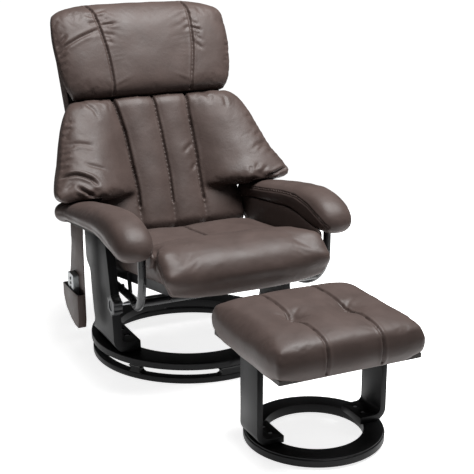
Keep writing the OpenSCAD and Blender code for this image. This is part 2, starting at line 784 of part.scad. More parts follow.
function seat_top(u, v) = [u*seat_w/2*(1 - 0.02*pow(1 - v, 8)),
    -seat_rear_in - (seat_l - seat_rear_in)*(1 - v)*(1 - 0.02*pow(abs(u), 3)*(1 - v)), rail_h + seat_height(u, v)];
function seat_base(u, v) = [u*(seat_w/2 - seat_base_in), (seat_toe_in - seat_l)*(1 - v), 0];
function seat_side(t, b, p, k) = let (m = t + (b - t)*k, front = p[1] == 0 ? 1 : 0)
    [m[0] + p[0]*(abs(p[0]) == 1 ? seat_bulge*sin(180*k) : 0), m[1] - front*seat_front_bulge*sin(180*k), m[2]];

module seat_cushion() {
    color(brown) on_seat() difference() {
        padded(seat_us_shares, seat_vs_shares, function (u, v) seat_top(u, v), function (u, v) seat_base(u, v), 3,
            function (t, b, p, k) seat_side(t, b, p, k));
        translate([-frame_w/2 - soft_gap, -rail_inset_y - frame_l - soft_gap, rail_h])
            cube([frame_w + 2*soft_gap, frame_l + 2*soft_gap, seat_board_t + soft_gap]);
        translate([-seat_w, -rail_inset_y - frame_l - soft_gap, -cut])
            cube([2*seat_w, 2*frame_l, rail_h + soft_gap + cut]);
    }
}

// Armrests, drawn level and then tilted about a line on their underside
module on_arm() {
    translate([0, arm_pivot_y, arm_h]) rotate([-arm_tilt, 0, 0]) translate([0, -arm_pivot_y, 0]) children();
}

module arm_board() {
    on_arm() translate([arm_mid_x - arm_board_w/2, arm_board_rear - arm_board_l, 0])
        cube([arm_board_w, arm_board_l, arm_board_t]);
}

module arm_board_left() {
    color(stained_ply) arm_board();
}

module arm_board_right() {
    color(stained_ply) mirror([1, 0, 0]) arm_board();
}

function arm_ring(s) = let (y = arm_rear_y - arm_l*s[0], z = arm_pad_t*s[1], b = arm_pad_t*s[2], a = arm_w*s[3])
    [for (i = [0:arm_ring_n - 1]) let (t = -360*i/arm_ring_n, p = a*power(cos(t), 2/arm_square),
        q = b*power(sin(t), 2/arm_square)) [arm_mid_x + p, y - q*sin(s[4]), z + q*cos(s[4])]];

module armrest() {
    difference() {
        on_arm() ring_loft([for (s = arm_stations_shares) arm_ring(s)]);
        on_arm() translate([arm_mid_x - arm_board_w/2 - soft_gap, arm_board_rear - arm_board_l - soft_gap, -arm_board_t])
            cube([arm_board_w + 2*soft_gap, arm_board_l + 2*soft_gap, 2*arm_board_t + soft_gap]);
        bent_bar([tube_points[1], tube_points[0]], tube_r + soft_gap, tube_bend_r);
    }
}

module armrest_left() {
    color(brown) armrest();
}

module armrest_right() {
    color(brown) mirror([1, 0, 0]) armrest();
}

// Padded panel that closes the side between armrest and seat
module arm_panel() {
    on_arm() translate([arm_panel_in, 0, 0]) rotate([90, 0, 90]) linear_extrude(arm_panel_t)
        polygon([for (s = arm_panel_shares) [arm_rear_y - arm_l*s[0], arm_panel_h*s[1]]]);
}

module arm_panel_left() {
    color(brown) arm_panel();
}

module arm_panel_right() {
    color(brown) mirror([1, 0, 0]) arm_panel();
}

// Recline hinge and lock
module hinge_plates() {
    color(black_steel) both_sides() translate([tube_inner_face - hinge_plate_t, 0, 0]) rotate([90, 0, 90])
        linear_extrude(hinge_plate_t) difference() {
            union() {
                translate([hinge_y, hinge_h]) circle(hinge_eye_r);
                polygon([[hinge_y - hinge_eye_r, hinge_h], [hinge_y + hinge_eye_r*0.72, hinge_h - hinge_eye_r*0.7],
                    [tube_end_y, tube_h - tube_r*1.2], [tube_end_y - 3*hinge_eye_r, tube_h - tube_r*1.2],
                    [tube_end_y - 3*hinge_eye_r, tube_h + tube_r*0.6]]);
            }
            translate([hinge_y, hinge_h]) circle(hinge_pin_r);
            translate([cross_rear_y, tube_h]) circle(cross_r);
        }
}

module hinge_pins() {
    color(steel) both_sides() translate([tube_inner_face, hinge_y, hinge_h]) rotate([0, -90, 0]) {
        translate([0, 0, -hinge_head_t]) cylinder(r = hinge_head_r, h = hinge_head_t);
        cylinder(r = hinge_pin_r, h = hinge_plate_t);
        translate([0, 0, hinge_plate_t]) cylinder(r = hinge_head_r, h = plate_gap - fit);
        cylinder(r = hinge_pin_r - run_fit, h = hinge_plate_t + plate_gap + bracket_t + pin_tail);
    }
}

// The slide bar runs in a small channel under the side tube
module lock_guide() {
    top = tube_h - guide_drop;
    bottom = bar_h - bar_w/2 - fit - guide_floor_t;
    outer = bar_x + bar_t + cheek_gap;
    color(black_steel) mirror([1, 0, 0]) difference() {
        translate([bar_x - cheek_gap - cheek_t, -knob_y - guide_l/2, bottom])
            cube([tube_inner_face - bar_x + cheek_gap + cheek_t, guide_l, top - bottom]);
        translate([bar_x - cheek_gap, -knob_y - guide_l/2 - cut, bar_h - bar_w/2 - fit])
            cube([bar_t + 2*cheek_gap, guide_l + 2*cut, top]);
        translate([bar_x - cheek_gap - cheek_t - cut, -knob_y, bar_h]) rotate([0, 90, 0])
            cylinder(r = stud_d/2 + fit, h = outer + cheek_t + cut);
        translate([bar_x - cheek_gap - cheek_t - cut, -knob_y - guide_l, bar_h + bar_w/2 + fit])
            cube([cheek_t + 2*cut, 2*guide_l, top]);
    }
}

module lock_nut() {
    color(steel) mirror([1, 0, 0]) translate([bar_x - cheek_gap - cheek_t - nut_t, -knob_y, bar_h]) rotate([0, 90, 0])
        difference() {
            cylinder(r = nut_r, h = nut_t, $fn = 6);
            translate([0, 0, -cut]) cylinder(r = stud_d/2 + run_fit, h = nut_t + 2*cut);
        }
}

module recline_bar() {
    slot_w = stud_d/2 + fit*2;
    pin_w = lever_pin_d/2 + lever_clear;
    slot_from = -knob_y - slot_w - fit;
    color(steel) mirror([1, 0, 0]) translate([bar_x, 0, 0]) rotate([90, 0, 90]) linear_extrude(bar_t) difference() {
        translate([bar_front, bar_h - bar_w/2]) square([bar_rear - bar_front, bar_w]);
        translate([slot_from + slot_w, bar_h]) circle(slot_w);
        translate([slot_from + slot_w, bar_h - slot_w]) square([bar_travel + 2*fit, 2*slot_w]);
        translate([slot_from + slot_w + bar_travel + 2*fit, bar_h]) circle(slot_w);
        translate([pin_rest_y, bar_h + yoke_rise/2]) circle(pin_w);
        translate([pin_rest_y, bar_h - yoke_rise/2]) circle(pin_w);
        translate([pin_rest_y - pin_w, bar_h - yoke_rise/2]) square([2*pin_w, yoke_rise]);
    }
}

module knob_grip() {
    body_r = knob_d/2*knob_body_share;
    lobe_r = knob_d/2*knob_lobe_share;
    color(black_plastic) translate([-knob_in_x - knob_t, -knob_y, bar_h]) rotate([0, 90, 0]) difference() {
        union() {
            cylinder(r = body_r, h = knob_t);
            for (i = [0:knob_lobes - 1]) rotate([0, 0, 360*i/knob_lobes])
                translate([knob_d/2 - lobe_r, 0, 0]) cylinder(r = lobe_r, h = knob_t);
        }
        translate([0, 0, -cut]) cylinder(r = knob_d/2*knob_bezel_share, h = knob_bezel_t + cut);
        translate([0, 0, knob_t - stud_in]) cylinder(r = stud_d/2, h = stud_in + cut);
    }
}

module knob_bezel() {
    color(silver_plastic) translate([-knob_in_x - knob_t, -knob_y, bar_h]) rotate([0, 90, 0]) difference() {
        cylinder(r = knob_d/2*knob_bezel_share, h = knob_bezel_t);
        translate([0, 0, -cut]) cylinder(r = knob_d/2*knob_bezel_share*0.72, h = knob_bezel_t + 2*cut);
    }
}

module knob_stud() {
    color(steel) translate([-knob_in_x - stud_in, -knob_y, bar_h]) rotate([0, 90, 0])
        cylinder(r = stud_d/2, h = knob_in_x + stud_in - stud_end);
}

// Back, drawn in its own leaning frame
module on_back() {
    translate([0, hinge_y, hinge_h]) rotate([-back_lean, 0, 0]) children();
}

module back_board() {
    color(stained_ply) on_back() translate([0, board_y + board_t, 0]) rotate([90, 0, 0]) linear_extrude(board_t)
        shell_outline(board_w, shell_start + shell_wall, shell_top - shell_wall - fit, shell_corner - shell_wall);
}

module back_bracket(lever) {
    on_back() {
        difference() {
            translate([bracket_x - bracket_t, 0, 0]) rotate([90, 0, 90]) linear_extrude(bracket_t) {
                circle(hinge_eye_r);
                polygon([[-hinge_eye_r*0.9, 0], [hinge_eye_r*0.9, 0], [board_y + board_t + bracket_top_w, bracket_to],
                    [board_y + board_t, bracket_to], [board_y + board_t, bracket_from]]);
                if (lever) rotate([0, 0, back_lean - 90 + lever_half]) {
                    translate([0, -lever_w/2]) square([lever_l, lever_w]);
                    translate([lever_l, 0]) circle(lever_w/2);
                }
            }
            translate([bracket_x - bracket_t - cut, 0, 0]) rotate([0, 90, 0]) cylinder(r = hinge_pin_r, h = bracket_t + 2*cut);
            if (lever) rotate([back_lean - 90 + lever_half, 0, 0]) translate([bracket_x - bracket_t - cut, lever_l, 0])
                rotate([0, 90, 0]) cylinder(r = lever_pin_d/2, h = bracket_t + 2*cut);
        }
        translate([bracket_x - bracket_foot_w, board_y + board_t, bracket_from + bracket_t])
            cube([bracket_foot_w - bracket_t, bracket_foot_t, bracket_to - bracket_from - bracket_t]);
    }
}

module back_brackets() {
    color(black_steel) {
        back_bracket(false);
        mirror([1, 0, 0]) back_bracket(true);
    }
}

module lever_pin() {
    color(steel) mirror([1, 0, 0]) on_back() rotate([back_lean - 90 + lever_half, 0, 0])
        translate([bracket_x - bracket_t, lever_l, 0]) rotate([0, 90, 0]) {
            cylinder(r = lever_pin_d/2, h = bracket_t + bar_t + pin_tail);
            translate([0, 0, -pin_head_t]) cylinder(r = lever_pin_d/2 + pin_head_w, h = pin_head_t);
        }
}

module back_motors() {
    color(black_plastic) on_back() for (z = back_motor_zs) both_sides()
        translate([back_motor_x, board_y + board_t, z]) rotate([90, 0, 0]) motor_can(back_motor_r);
}

// Rear shell: an open tray around the board
module shell_outline(w, from, to, round) {
    translate([-w/2, from]) square([w, to - round - from]);
    translate([round - w/2, from]) square([w - 2*round, to - from]);
    for (s = [-1, 1]) translate([s*(w/2 - round), to - round]) circle(round);
}

module rear_shell() {
    color(brown) on_back() translate([0, board_y, 0]) rotate([90, 0, 0]) mirror([0, 0, 1]) difference() {
        linear_extrude(shell_d) shell_outline(shell_w, shell_start, shell_top, shell_corner);
        translate([0, 0, -cut]) linear_extrude(shell_d - shell_wall + cut)
            shell_outline(shell_w - 2*shell_wall, shell_start - cut, shell_top - shell_wall, shell_corner - shell_wall);
    }
}

// Back cushion: two middle channels between seams, and a wing on each side
back_us_shares = [-1, -0.94, -0.85, -0.74, -0.62, -0.54, -0.5, -0.46, -0.36, -0.2, -0.06, 0,
    0.06, 0.2, 0.36, 0.46, 0.5, 0.54, 0.62, 0.74, 0.85, 0.94, 1];
back_vs_shares = [0, 0.05, 0.14, 0.22, 0.27, 0.283, 0.296, 0.315, 0.345, 0.39, 0.45, 0.53, 0.61, 0.7, 0.79, 0.87,
    0.93, 0.97, 1];
wing_half_shares = [[0, 0], [0.27, 0], [0.283, 0.60], [0.296, 0.84], [0.315, 0.96], [0.345, 1], [0.39, 0.96], [0.45, 0.90],
    [0.53, 0.82], [0.61, 0.75], [0.7, 0.665], [0.79, 0.58], [0.87, 0.47], [0.93, 0.37], [1, 0.20]];
wing_low_share = 0.27;
wing_drop = 16;
wing_flare = 50;
wing_sag = 0.29;
wing_rear_rise = 30;
wing_rise_share = 0.7;
wing_start = ((arm_h - wing_drop - hinge_h)/cos(back_lean) - pad_start)/back_l;
function over_arm(v) = v <= wing_low_share ? v*wing_start/wing_low_share
    : 1 - (1 - v)*(1 - wing_start)/(1 - wing_low_share);
back_vs = [for (v = back_vs_shares) over_arm(v)];
wing_halfs = [for (s = wing_half_shares) [over_arm(s[0]), s[1]]];
seam_top_x = 125;
seam_low_x = 104;
channel_rise = 9;
wing_seam_deep = 12;
middle_seam_deep = 7;
wing_edge_in = 6;
wing_rear_in = 40;
wing_bulge = 10;
back_bulge = 4;
back_edge_fall = 24;
foot_fall = 20;
head_fall = 16;
function seam_x(v) = seam_low_x + (seam_top_x - seam_low_x)*v;
function back_half(v) = back_low_w/2 + (wing_w - back_low_w)/2*lookup(v, wing_halfs);
function wing_part(v) = lookup(v, wing_halfs);
function wing_low(v) = 1 - min(1, max(0, (v - wing_start)/(1 - wing_start)));
function wing_depth(u, v) = let (out = max(0, (abs(u) - 0.5)/0.5))
    (wing_forward + wing_flare*pow(wing_low(v), 3))*wing_part(v)*(sin(90*min(1, out/0.62)) - 0.16*pow(out, 4));
function back_x(u, v) = let (a = abs(u), s = seam_x(v))
    sign(u)*(a <= 0.5 ? a/0.5*s : s + (back_half(v) - wing_edge_in*wing_part(v) - s)*(a - 0.5)/0.5);
function back_depth(u, v) = let (a = abs(u), out = max(0, (a - 0.5)/0.5))
    back_pad_t + wing_depth(u, v) + channel_rise*sin(180*min(1, a/0.5))*(a < 0.5 ? 1 : 0)
    - wing_seam_deep*bump(a - 0.5, 0.03) - middle_seam_deep*bump(u, 0.03) - back_edge_fall*pow(out, 6)*(1 - wing_part(v))
    - foot_fall*pow(max(0, 1 - v/0.07), 2) - head_fall*pow(max(0, (v - 0.93)/0.07), 2);
function back_top(u, v) = [back_x(u, v), board_y - back_depth(u, v),
    pad_start + back_l*v - wing_sag*wing_depth(u, v)*pow(wing_low(v), 2)];
function back_base(u, v) = [back_x(u, v) - sign(u)*wing_rear_in*wing_part(v)*pow(abs(u), 4),
    board_y - soft_gap - wing_rear_rise*wing_part(v)*max(0, abs(u) - wing_rise_share)/(1 - wing_rise_share),
    pad_start + back_l*v];
function back_side(t, b, p, k) = let (m = t + (b - t)*k)
    [m[0] + p[0]*(abs(p[0]) == 1 ? (back_bulge + wing_bulge*wing_part(p[1]))*sin(180*k) : 0), m[1], m[2]];

module back_cushion() {
    color(brown) on_back() padded(back_us_shares, back_vs, function (u, v) back_top(u, v),
        function (u, v) back_base(u, v), 3, function (t, b, p, k) back_side(t, b, p, k));
}

// Headrest: a full cushion with two curved seams, rolled over its top edge
head_us_shares = [-1, -0.95, -0.85, -0.72, -0.6, -0.53, -0.5, -0.47, -0.4, -0.2, 0,
    0.2, 0.4, 0.47, 0.5, 0.53, 0.6, 0.72, 0.85, 0.95, 1];
head_vs_shares = [0, 0.04, 0.11, 0.22, 0.36, 0.5, 0.64, 0.76, 0.86, 0.93, 0.975, 1];
head_half_shares = [[0, 0.87], [0.11, 0.93], [0.22, 0.965], [0.36, 0.985], [0.5, 1], [0.64, 1], [0.76, 0.995],
    [0.86, 0.985], [0.93, 0.96], [1, 0.87]];
head_rear_share = 0.10;
head_bulge = 6;
head_seam_x = 131;
head_seam_flare = 27;
head_swell = 8;
head_crown = 6;
head_seam_deep = 9;
head_corner_drop = 14;
function head_z(u, v) = head_start + head_l*v - head_corner_drop*pow(abs(u), 4)*pow(v, 3);
function head_x(u, v) = let (a = abs(u), s = head_seam_x + head_seam_flare*v*v, h = head_w/2*lookup(v, head_half_shares))
    sign(u)*(a <= 0.5 ? a/0.5*s : s + (h - s)*(a - 0.5)/0.5);
function head_depth(u, v) = let (a = abs(u), out = max(0, (a - 0.5)/0.5))
    head_pad_t + head_swell*sin(180*v) + head_crown*flat_dome(u, 2) - head_seam_deep*bump(a - 0.5, 0.025)*(0.3 + 0.7*v)
    - head_pad_t*(1 - (1 - 0.22*pow(out, 6))*(1 - 0.52*pow(max(0, (v - 0.8)/0.2), 2.2)))
    - head_pad_t*0.3*pow(max(0, 1 - v/0.08), 2);
function head_top(u, v) = [head_x(u, v), board_y - head_depth(u, v), head_z(u, v)];
function head_base(u, v) = [head_x(u, v)*(1 - head_rear_share*pow(abs(u), 4)), board_y - soft_gap,
    head_z(u, v) - 0.03*head_l*v*v*v];
function head_side(t, b, p, k) = let (m = t + (b - t)*k)
    [m[0] + p[0]*(abs(p[0]) == 1 ? head_bulge*sin(180*k) : 0), m[1],
    m[2] + (p[1] == 1 ? cushion_roll*sin(180*k)*flat_dome(p[0], 6) : 0)];

module headrest() {
    color(brown) on_back() padded(head_us_shares, head_vs_shares, function (u, v) head_top(u, v),
        function (u, v) head_base(u, v), 3, function (t, b, p, k) head_side(t, b, p, k));
}

// Pocket: a hanging panel with a pouch on its outer face
function panel_points(shares, rise) = [for (s = shares) [pocket_front_y + pocket_w*s[1], pocket_h + rise*s[0]]];

module panel_outline() {
    rise = arm_h - pocket_h;
    polygon(concat(panel_points(panel_front_shares, rise), panel_points(panel_rear_shares, rise)));
}

module side_pocket() {
    color(brown) {
        difference() {
            translate([-pocket_x, 0, 0]) rotate([90, 0, 90]) linear_extrude(panel_t) panel_outline();
            on_arm() translate([-2*pocket_x, -arm_l, -soft_gap]) cube([2*pocket_x, 2*arm_l, arm_h]);
        }
        translate([-pocket_x - pouch_out, 0, 0]) rotate([90, 0, 90]) difference() {
            linear_extrude(pouch_out) intersection() {
                panel_outline();
                square([pocket_front_y + 2*pocket_w, pocket_h + pouch_h]);
            }
            translate([pocket_front_y + pouch_edge, remote_z - fit, pouch_wall]) linear_extrude(pouch_out - pouch_wall)
                square([remote_y + remote_w/2 + pouch_side - pocket_front_y - pouch_edge, pouch_h]);
        }
    }
}

// Remote, standing in the pouch
module remote_slab(w, l) {
    translate([remote_round, 0]) square([w - 2*remote_round, l]);
    translate([0, remote_round]) square([w, l - 2*remote_round]);
    for (x = [remote_round, w - remote_round]) for (z = [remote_round, l - remote_round]) translate([x, z]) circle(remote_round);
}

remote_out_x = pocket_x + remote_t + soft_gap;

module remote_shell() {
    color(silver_plastic) translate([-remote_out_x, remote_y - remote_w/2, remote_z]) difference() {
        rotate([90, 0, 90]) linear_extrude(remote_t) remote_slab(remote_w, remote_l);
        for (i = [0:button_n - 1]) translate([-cut, remote_w/2, remote_l - button_from_top - i*button_pitch])
            rotate([0, 90, 0]) {
                cylinder(r = button_d/2 + fit, h = button_deep + cut);
                translate([0, 0, cut + remote_shell_t])
                    cylinder(r = button_d/2 + button_flange + fit, h = button_deep - remote_shell_t);
            }
    }
}

module button(i) {
    color(black_plastic) translate([-remote_out_x, remote_y, remote_z + remote_l - button_from_top - i*button_pitch])
        rotate([0, 90, 0]) {
            translate([0, 0, -button_rise]) cylinder(r = button_d/2, h = button_rise + remote_shell_t + fit);
            translate([0, 0, remote_shell_t + fit]) cylinder(r = button_d/2 + button_flange, h = button_flange_t);
        }
}

module button_1() {
    button(0);
}

module button_2() {
    button(1);
}

module button_3() {
    button(2);
}

module button_4() {
    button(3);
}

module button_5() {
    button(4);
}

// Footstool, drawn about its own ring's axis
module at_stool() {
    translate([stool_x, -stool_y, 0]) children();
}

module stool_screw_places() {
    both_sides() for (s = stool_screw_shares)
        translate([stool_span/2 - stool_foot_reach*0.68, stool_leg_d*(s - 0.5), 0]) children();
}

module stool_ring() {
    color(black_wood) at_stool() translate([0, 0, stool_glide_h]) difference() {
        union() {
            soft_edged_ring(stool_r, stool_ring_w, stool_ring_t - stool_step, ring_round);
            flat_ring(stool_r - stool_step, stool_ring_w - stool_step, stool_ring_t);
        }
        stool_screw_places() translate([0, 0, stool_ring_t + stool_foot_t - stool_head_t - stool_screw_l])
            cylinder(r = stool_screw_r, h = stool_screw_l);
    }
}

module stool_glides() {
    color(black_plastic) at_stool() for (i = [0:stool_glide_n - 1]) rotate([0, 0, 360*(i + 0.5)/stool_glide_n])
        translate([stool_r - stool_ring_w/2, 0, 0]) cylinder(r = stool_glide_r, h = stool_glide_h);
}

module stool_leg() {
    x = stool_span/2;
    difference() {
        translate([0, stool_leg_d/2, 0]) rotate([90, 0, 0]) linear_extrude(stool_leg_d) difference() {
            union() {
                translate([stool_leg_in, stool_ring_top + stool_bend_r])
                    square([stool_leg_t, stool_h - stool_ring_top - stool_bend_r]);
                translate([x - stool_foot_reach, stool_ring_top]) square([stool_foot_reach - stool_bend_r, stool_foot_t]);
                intersection() {
                    translate([x - stool_bend_r, stool_ring_top + stool_bend_r]) circle(stool_bend_r);
                    translate([x - stool_bend_r, stool_ring_top]) square([stool_bend_r, stool_bend_r]);
                }
            }
            translate([x - stool_bend_r - cut, stool_ring_top + stool_foot_t])
                square([cut + stool_bend_r - stool_leg_t - stool_fillet, stool_fillet + cut]);
            translate([stool_leg_in - stool_fillet, stool_ring_top + stool_bend_r]) circle(stool_fillet);
        }
        stool_screw_places() {
            translate([0, 0, stool_ring_top - cut]) cylinder(r = stool_screw_r, h = stool_foot_t + 2*cut);
            translate([0, 0, stool_ring_top + stool_foot_t - stool_head_t])
                cylinder(r = stool_head_r + fit, h = stool_head_t + cut);
        }
    }
}

module stool_leg_left() {
    color(black_wood) at_stool() stool_leg();
}

module stool_leg_right() {
    color(black_wood) at_stool() mirror([1, 0, 0]) stool_leg();
}

module stool_screws() {
    color(steel) at_stool() stool_screw_places() translate([0, 0, stool_ring_top + stool_foot_t - stool_head_t]) {
        cylinder(r = stool_head_r, h = stool_head_t - fit);
        translate([0, 0, fit - stool_screw_l]) cylinder(r = stool_screw_r, h = stool_screw_l - fit);
    }
}

module stool_cleats() {
    color(black_wood) at_stool() both_sides() translate([stool_leg_in - cleat_w, -stool_leg_d/2, stool_h - cleat_h])
        cube([cleat_w, stool_leg_d, cleat_h]);
}

module stool_board() {
    color(stained_ply) at_stool() translate([stool_board_inset - stool_w/2, stool_board_inset - stool_d/2, stool_h])
        cube([stool_w - 2*stool_board_inset, stool_d - 2*stool_board_inset, stool_board_t]);
}

stool_us_shares = [-1, -0.95, -0.84, -0.68, -0.5, -0.42, -0.37, -0.32, -0.22, -0.08,
    0.08, 0.22, 0.32, 0.37, 0.42, 0.5, 0.68, 0.84, 0.95, 1];
stool_vs_shares = [-1, -0.95, -0.84, -0.66, -0.44, -0.24, -0.1, 0, 0.1, 0.24, 0.44, 0.66, 0.84, 0.95, 1];
stool_tuft_share = -0.15;
stool_roll = 8;
stool_base_in = 11;
stool_bulge = 12;
function stool_top(u, v) = let (seam = abs(u) - stool_seam_share) [
    u*(stool_w/2 - stool_roll)*(1 - 0.05*pow(abs(v), 6)), v*(stool_d/2 - stool_roll)*(1 - 0.05*pow(abs(u), 6)),
    stool_h + stool_pad_t + stool_crown*pow(flat_dome(u, 4)*flat_dome(v, 4), 0.6)
    - channel_d*bump(seam, 0.035)*flat_dome(v, 8) - tuft_d*bump(norm([seam, v - stool_tuft_share]), 0.13)];
function stool_base(u, v) = [u*(stool_w/2 - stool_base_in)*(1 - 0.05*pow(abs(v), 6)),
    v*(stool_d/2 - stool_base_in)*(1 - 0.05*pow(abs(u), 6)), stool_h];
function stool_side(t, b, p, k) = let (m = t + (b - t)*k, o = stool_bulge*sin(180*k))
    [m[0] + (abs(p[0]) == 1 ? sign(p[0])*o : 0), m[1] + (abs(p[1]) == 1 ? sign(p[1])*o : 0), m[2]];

module stool_cushion() {
    color(brown) at_stool() difference() {
        padded(stool_us_shares, stool_vs_shares, function (u, v) stool_top(u, v), function (u, v) stool_base(u, v), 3,
            function (t, b, p, k) stool_side(t, b, p, k));
        translate([stool_board_inset - stool_w/2 - soft_gap, stool_board_inset - stool_d/2 - soft_gap, stool_h - stool_board_t])
            cube([stool_w - 2*stool_board_inset + 2*soft_gap, stool_d - 2*stool_board_inset + 2*soft_gap,
                2*stool_board_t + soft_gap]);
    }
}

floor_ring();
ring_stations();
slide_pads();
turning_ring();
swivel_track();
leg_right();
leg_left();
foot_screws();
side_tube_right();
side_tube_left();
cross_tubes();
leg_bushes();
leg_bolts();
seat_rails();
seat_board();
seat_tabs();
seat_saddles();
seat_cushion();
seat_motors();
control_box();
power_inlet();
dust_cover();
arm_board_right();
arm_board_left();
armrest_right();
armrest_left();
arm_panel_right();
arm_panel_left();
hinge_plates();
hinge_pins();
lock_guide();
lock_nut();
side_pocket();
back_board();
back_brackets();
lever_pin();
back_motors();
rear_shell();
back_cushion();
headrest();
recline_bar();
knob_grip();
knob_bezel();
knob_stud();
remote_shell();
button_1();
button_2();
button_3();
button_4();
button_5();
stool_ring();
stool_glides();
stool_leg_right();
stool_leg_left();
stool_screws();
stool_cleats();
stool_board();
stool_cushion();
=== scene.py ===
import bpy
import bmesh
import json
import math
import numpy as np
from mathutils import Matrix, Vector, noise
from mathutils.bvhtree import BVHTree


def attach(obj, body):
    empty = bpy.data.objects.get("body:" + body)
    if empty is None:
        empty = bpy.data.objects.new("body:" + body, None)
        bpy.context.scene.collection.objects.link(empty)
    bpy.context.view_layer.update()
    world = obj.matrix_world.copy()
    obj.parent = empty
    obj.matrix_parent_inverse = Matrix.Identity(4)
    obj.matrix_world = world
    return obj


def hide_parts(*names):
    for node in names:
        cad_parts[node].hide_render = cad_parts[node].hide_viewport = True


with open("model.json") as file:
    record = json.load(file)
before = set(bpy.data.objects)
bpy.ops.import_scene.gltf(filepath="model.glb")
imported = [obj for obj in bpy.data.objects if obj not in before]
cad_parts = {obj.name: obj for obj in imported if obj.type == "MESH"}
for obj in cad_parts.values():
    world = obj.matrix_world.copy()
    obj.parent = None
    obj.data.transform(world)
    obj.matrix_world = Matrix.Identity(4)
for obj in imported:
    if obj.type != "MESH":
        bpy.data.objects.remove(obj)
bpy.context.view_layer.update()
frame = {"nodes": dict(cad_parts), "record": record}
nodes = frame["nodes"]
scene = bpy.context.scene

# Camera fitted to the photo: its place and its own three axes
cameraSet = {
    "eye": (-1.291, -3.013, 1.353),
    "right": (0.9009, -0.4340, 0.0),
    "up": (0.1276, 0.2649, 0.9558),
    "back": (-0.4148, -0.8611, 0.2940),
    "lens": 86.82,
    "sensor": 36,
}
cameraData = bpy.data.cameras.new("photoCamera")
cameraData.sensor_width = cameraSet["sensor"]
cameraData.lens = cameraSet["lens"]
cameraObject = bpy.data.objects.new("photoCamera", cameraData)
scene.collection.objects.link(cameraObject)
turn = Matrix((cameraSet["right"], cameraSet["up"], cameraSet["back"])).transposed()
cameraObject.matrix_world = Matrix.Translation(cameraSet["eye"]) @ turn.to_4x4()
scene.camera = cameraObject


# sRGB hex text to linear colour
def hexColour(text):
    parts = [int(text[i:i + 2], 16) / 255 for i in (1, 3, 5)]
    return tuple(p / 12.92 if p <= 0.04045 else ((p + 0.055) / 1.055) ** 2.4 for p in parts) + (1.0,)


# Gives a node's inputs their values or links
def setInputs(tree, node, inputs):
    for key, value in inputs.items():
        if isinstance(value, bpy.types.NodeSocket):
            tree.links.new(value, node.inputs[key])
        else:
            node.inputs[key].default_value = value


# Adds a node with its settings and its input values or links
def addNode(tree, kind, settings=None, inputs=None):
    made = tree.nodes.new(kind)
    for key, value in (settings or {}).items():
        setattr(made, key, value)
    setInputs(tree, made, inputs or {})
    return made


# The backdrop is white in the picture, and the room around it gives a weaker fill
lightSet = {
    "world": "#ffffff",
    "backdrop": 1.05,
    "fill": 0.08,
    "aim": (0.0, -0.1, 0.45),
    "lamps": [
        {"name": "topLamp", "at": (0.6, -0.62, 3.3), "size": 2.0, "power": 240.0},
        {"name": "sideLamp", "at": (2.4, -1.8, 2.4), "size": 1.2, "power": 5.0},
    ],
}
world = bpy.data.worlds.new("studioWorld")
scene.world = world
world.use_nodes = True
worldTree = world.node_tree
worldColour = hexColour(lightSet["world"])
roomLight = worldTree.nodes["Background"]
setInputs(worldTree, roomLight, {"Color": worldColour, "Strength": lightSet["fill"]})
backdrop = addNode(worldTree, "ShaderNodeBackground", None, {
    "Color": worldColour, "Strength": lightSet["backdrop"]})
rayKind = addNode(worldTree, "ShaderNodeLightPath")
chooser = addNode(worldTree, "ShaderNodeMixShader", None, {
    0: rayKind.outputs["Is Camera Ray"], 1: roomLight.outputs[0], 2: backdrop.outputs[0]})
setInputs(worldTree, worldTree.nodes["World Output"], {"Surface": chooser.outputs[0]})
for lamp in lightSet["lamps"]:
    lampData = bpy.data.lights.new(lamp["name"], "AREA")
    lampData.size = lamp["size"]
    lampData.energy = lamp["power"]
    lampObject = bpy.data.objects.new(lamp["name"], lampData)
    lampObject.location = lamp["at"]
    aim = Vector(lightSet["aim"]) - Vector(lamp["at"])
    lampObject.rotation_mode = "QUATERNION"
    lampObject.rotation_quaternion = aim.to_track_quat("-Z", "Y")
    scene.collection.objects.link(lampObject)
scene.view_settings.view_transform = "Standard"
print("camera and lights set")


def startMaterial(name, inputs):
    made = bpy.data.materials.new(name)
    made.use_nodes = True
    tree = made.node_tree
    shader = tree.nodes["Principled BSDF"]
    setInputs(tree, shader, inputs)
    return made, tree, shader


# Colour and roughness that both follow one cloud, and a relief
def coverSurface(tree, shader, cloud, relief, s):
    low, high = s.get("span", (0.0, 1.0))
    mix = addNode(tree, "ShaderNodeMix", {"data_type": "RGBA"}, {
        "Factor": cloud, 6: hexColour(s["dark"]), 7: hexColour(s["light"])})
    rough = addNode(tree, "ShaderNodeMapRange", None, {
        "Value": cloud, "From Min": low, "From Max": high,
        "To Min": s["rough"][0], "To Max": s["rough"][1]})
    setInputs(tree, shader, {
        "Base Color": mix.outputs[2], "Roughness": rough.outputs["Result"],
        "Normal": relief.outputs["Normal"]})


# Polyurethane leatherette: a knit coated with pigmented PU and pressed with a fine pebble grain,
# soft with a low gloss. The real grain is under 1 mm, drawn at 2.2 mm so that it shows.
leatherSet = {
    "light": "#4d403c", "dark": "#39302d", "cloud": 0.07, "crease": 0.02, "grain": 0.0022,
    "span": (0.3, 0.7), "rough": (0.42, 0.55),
}


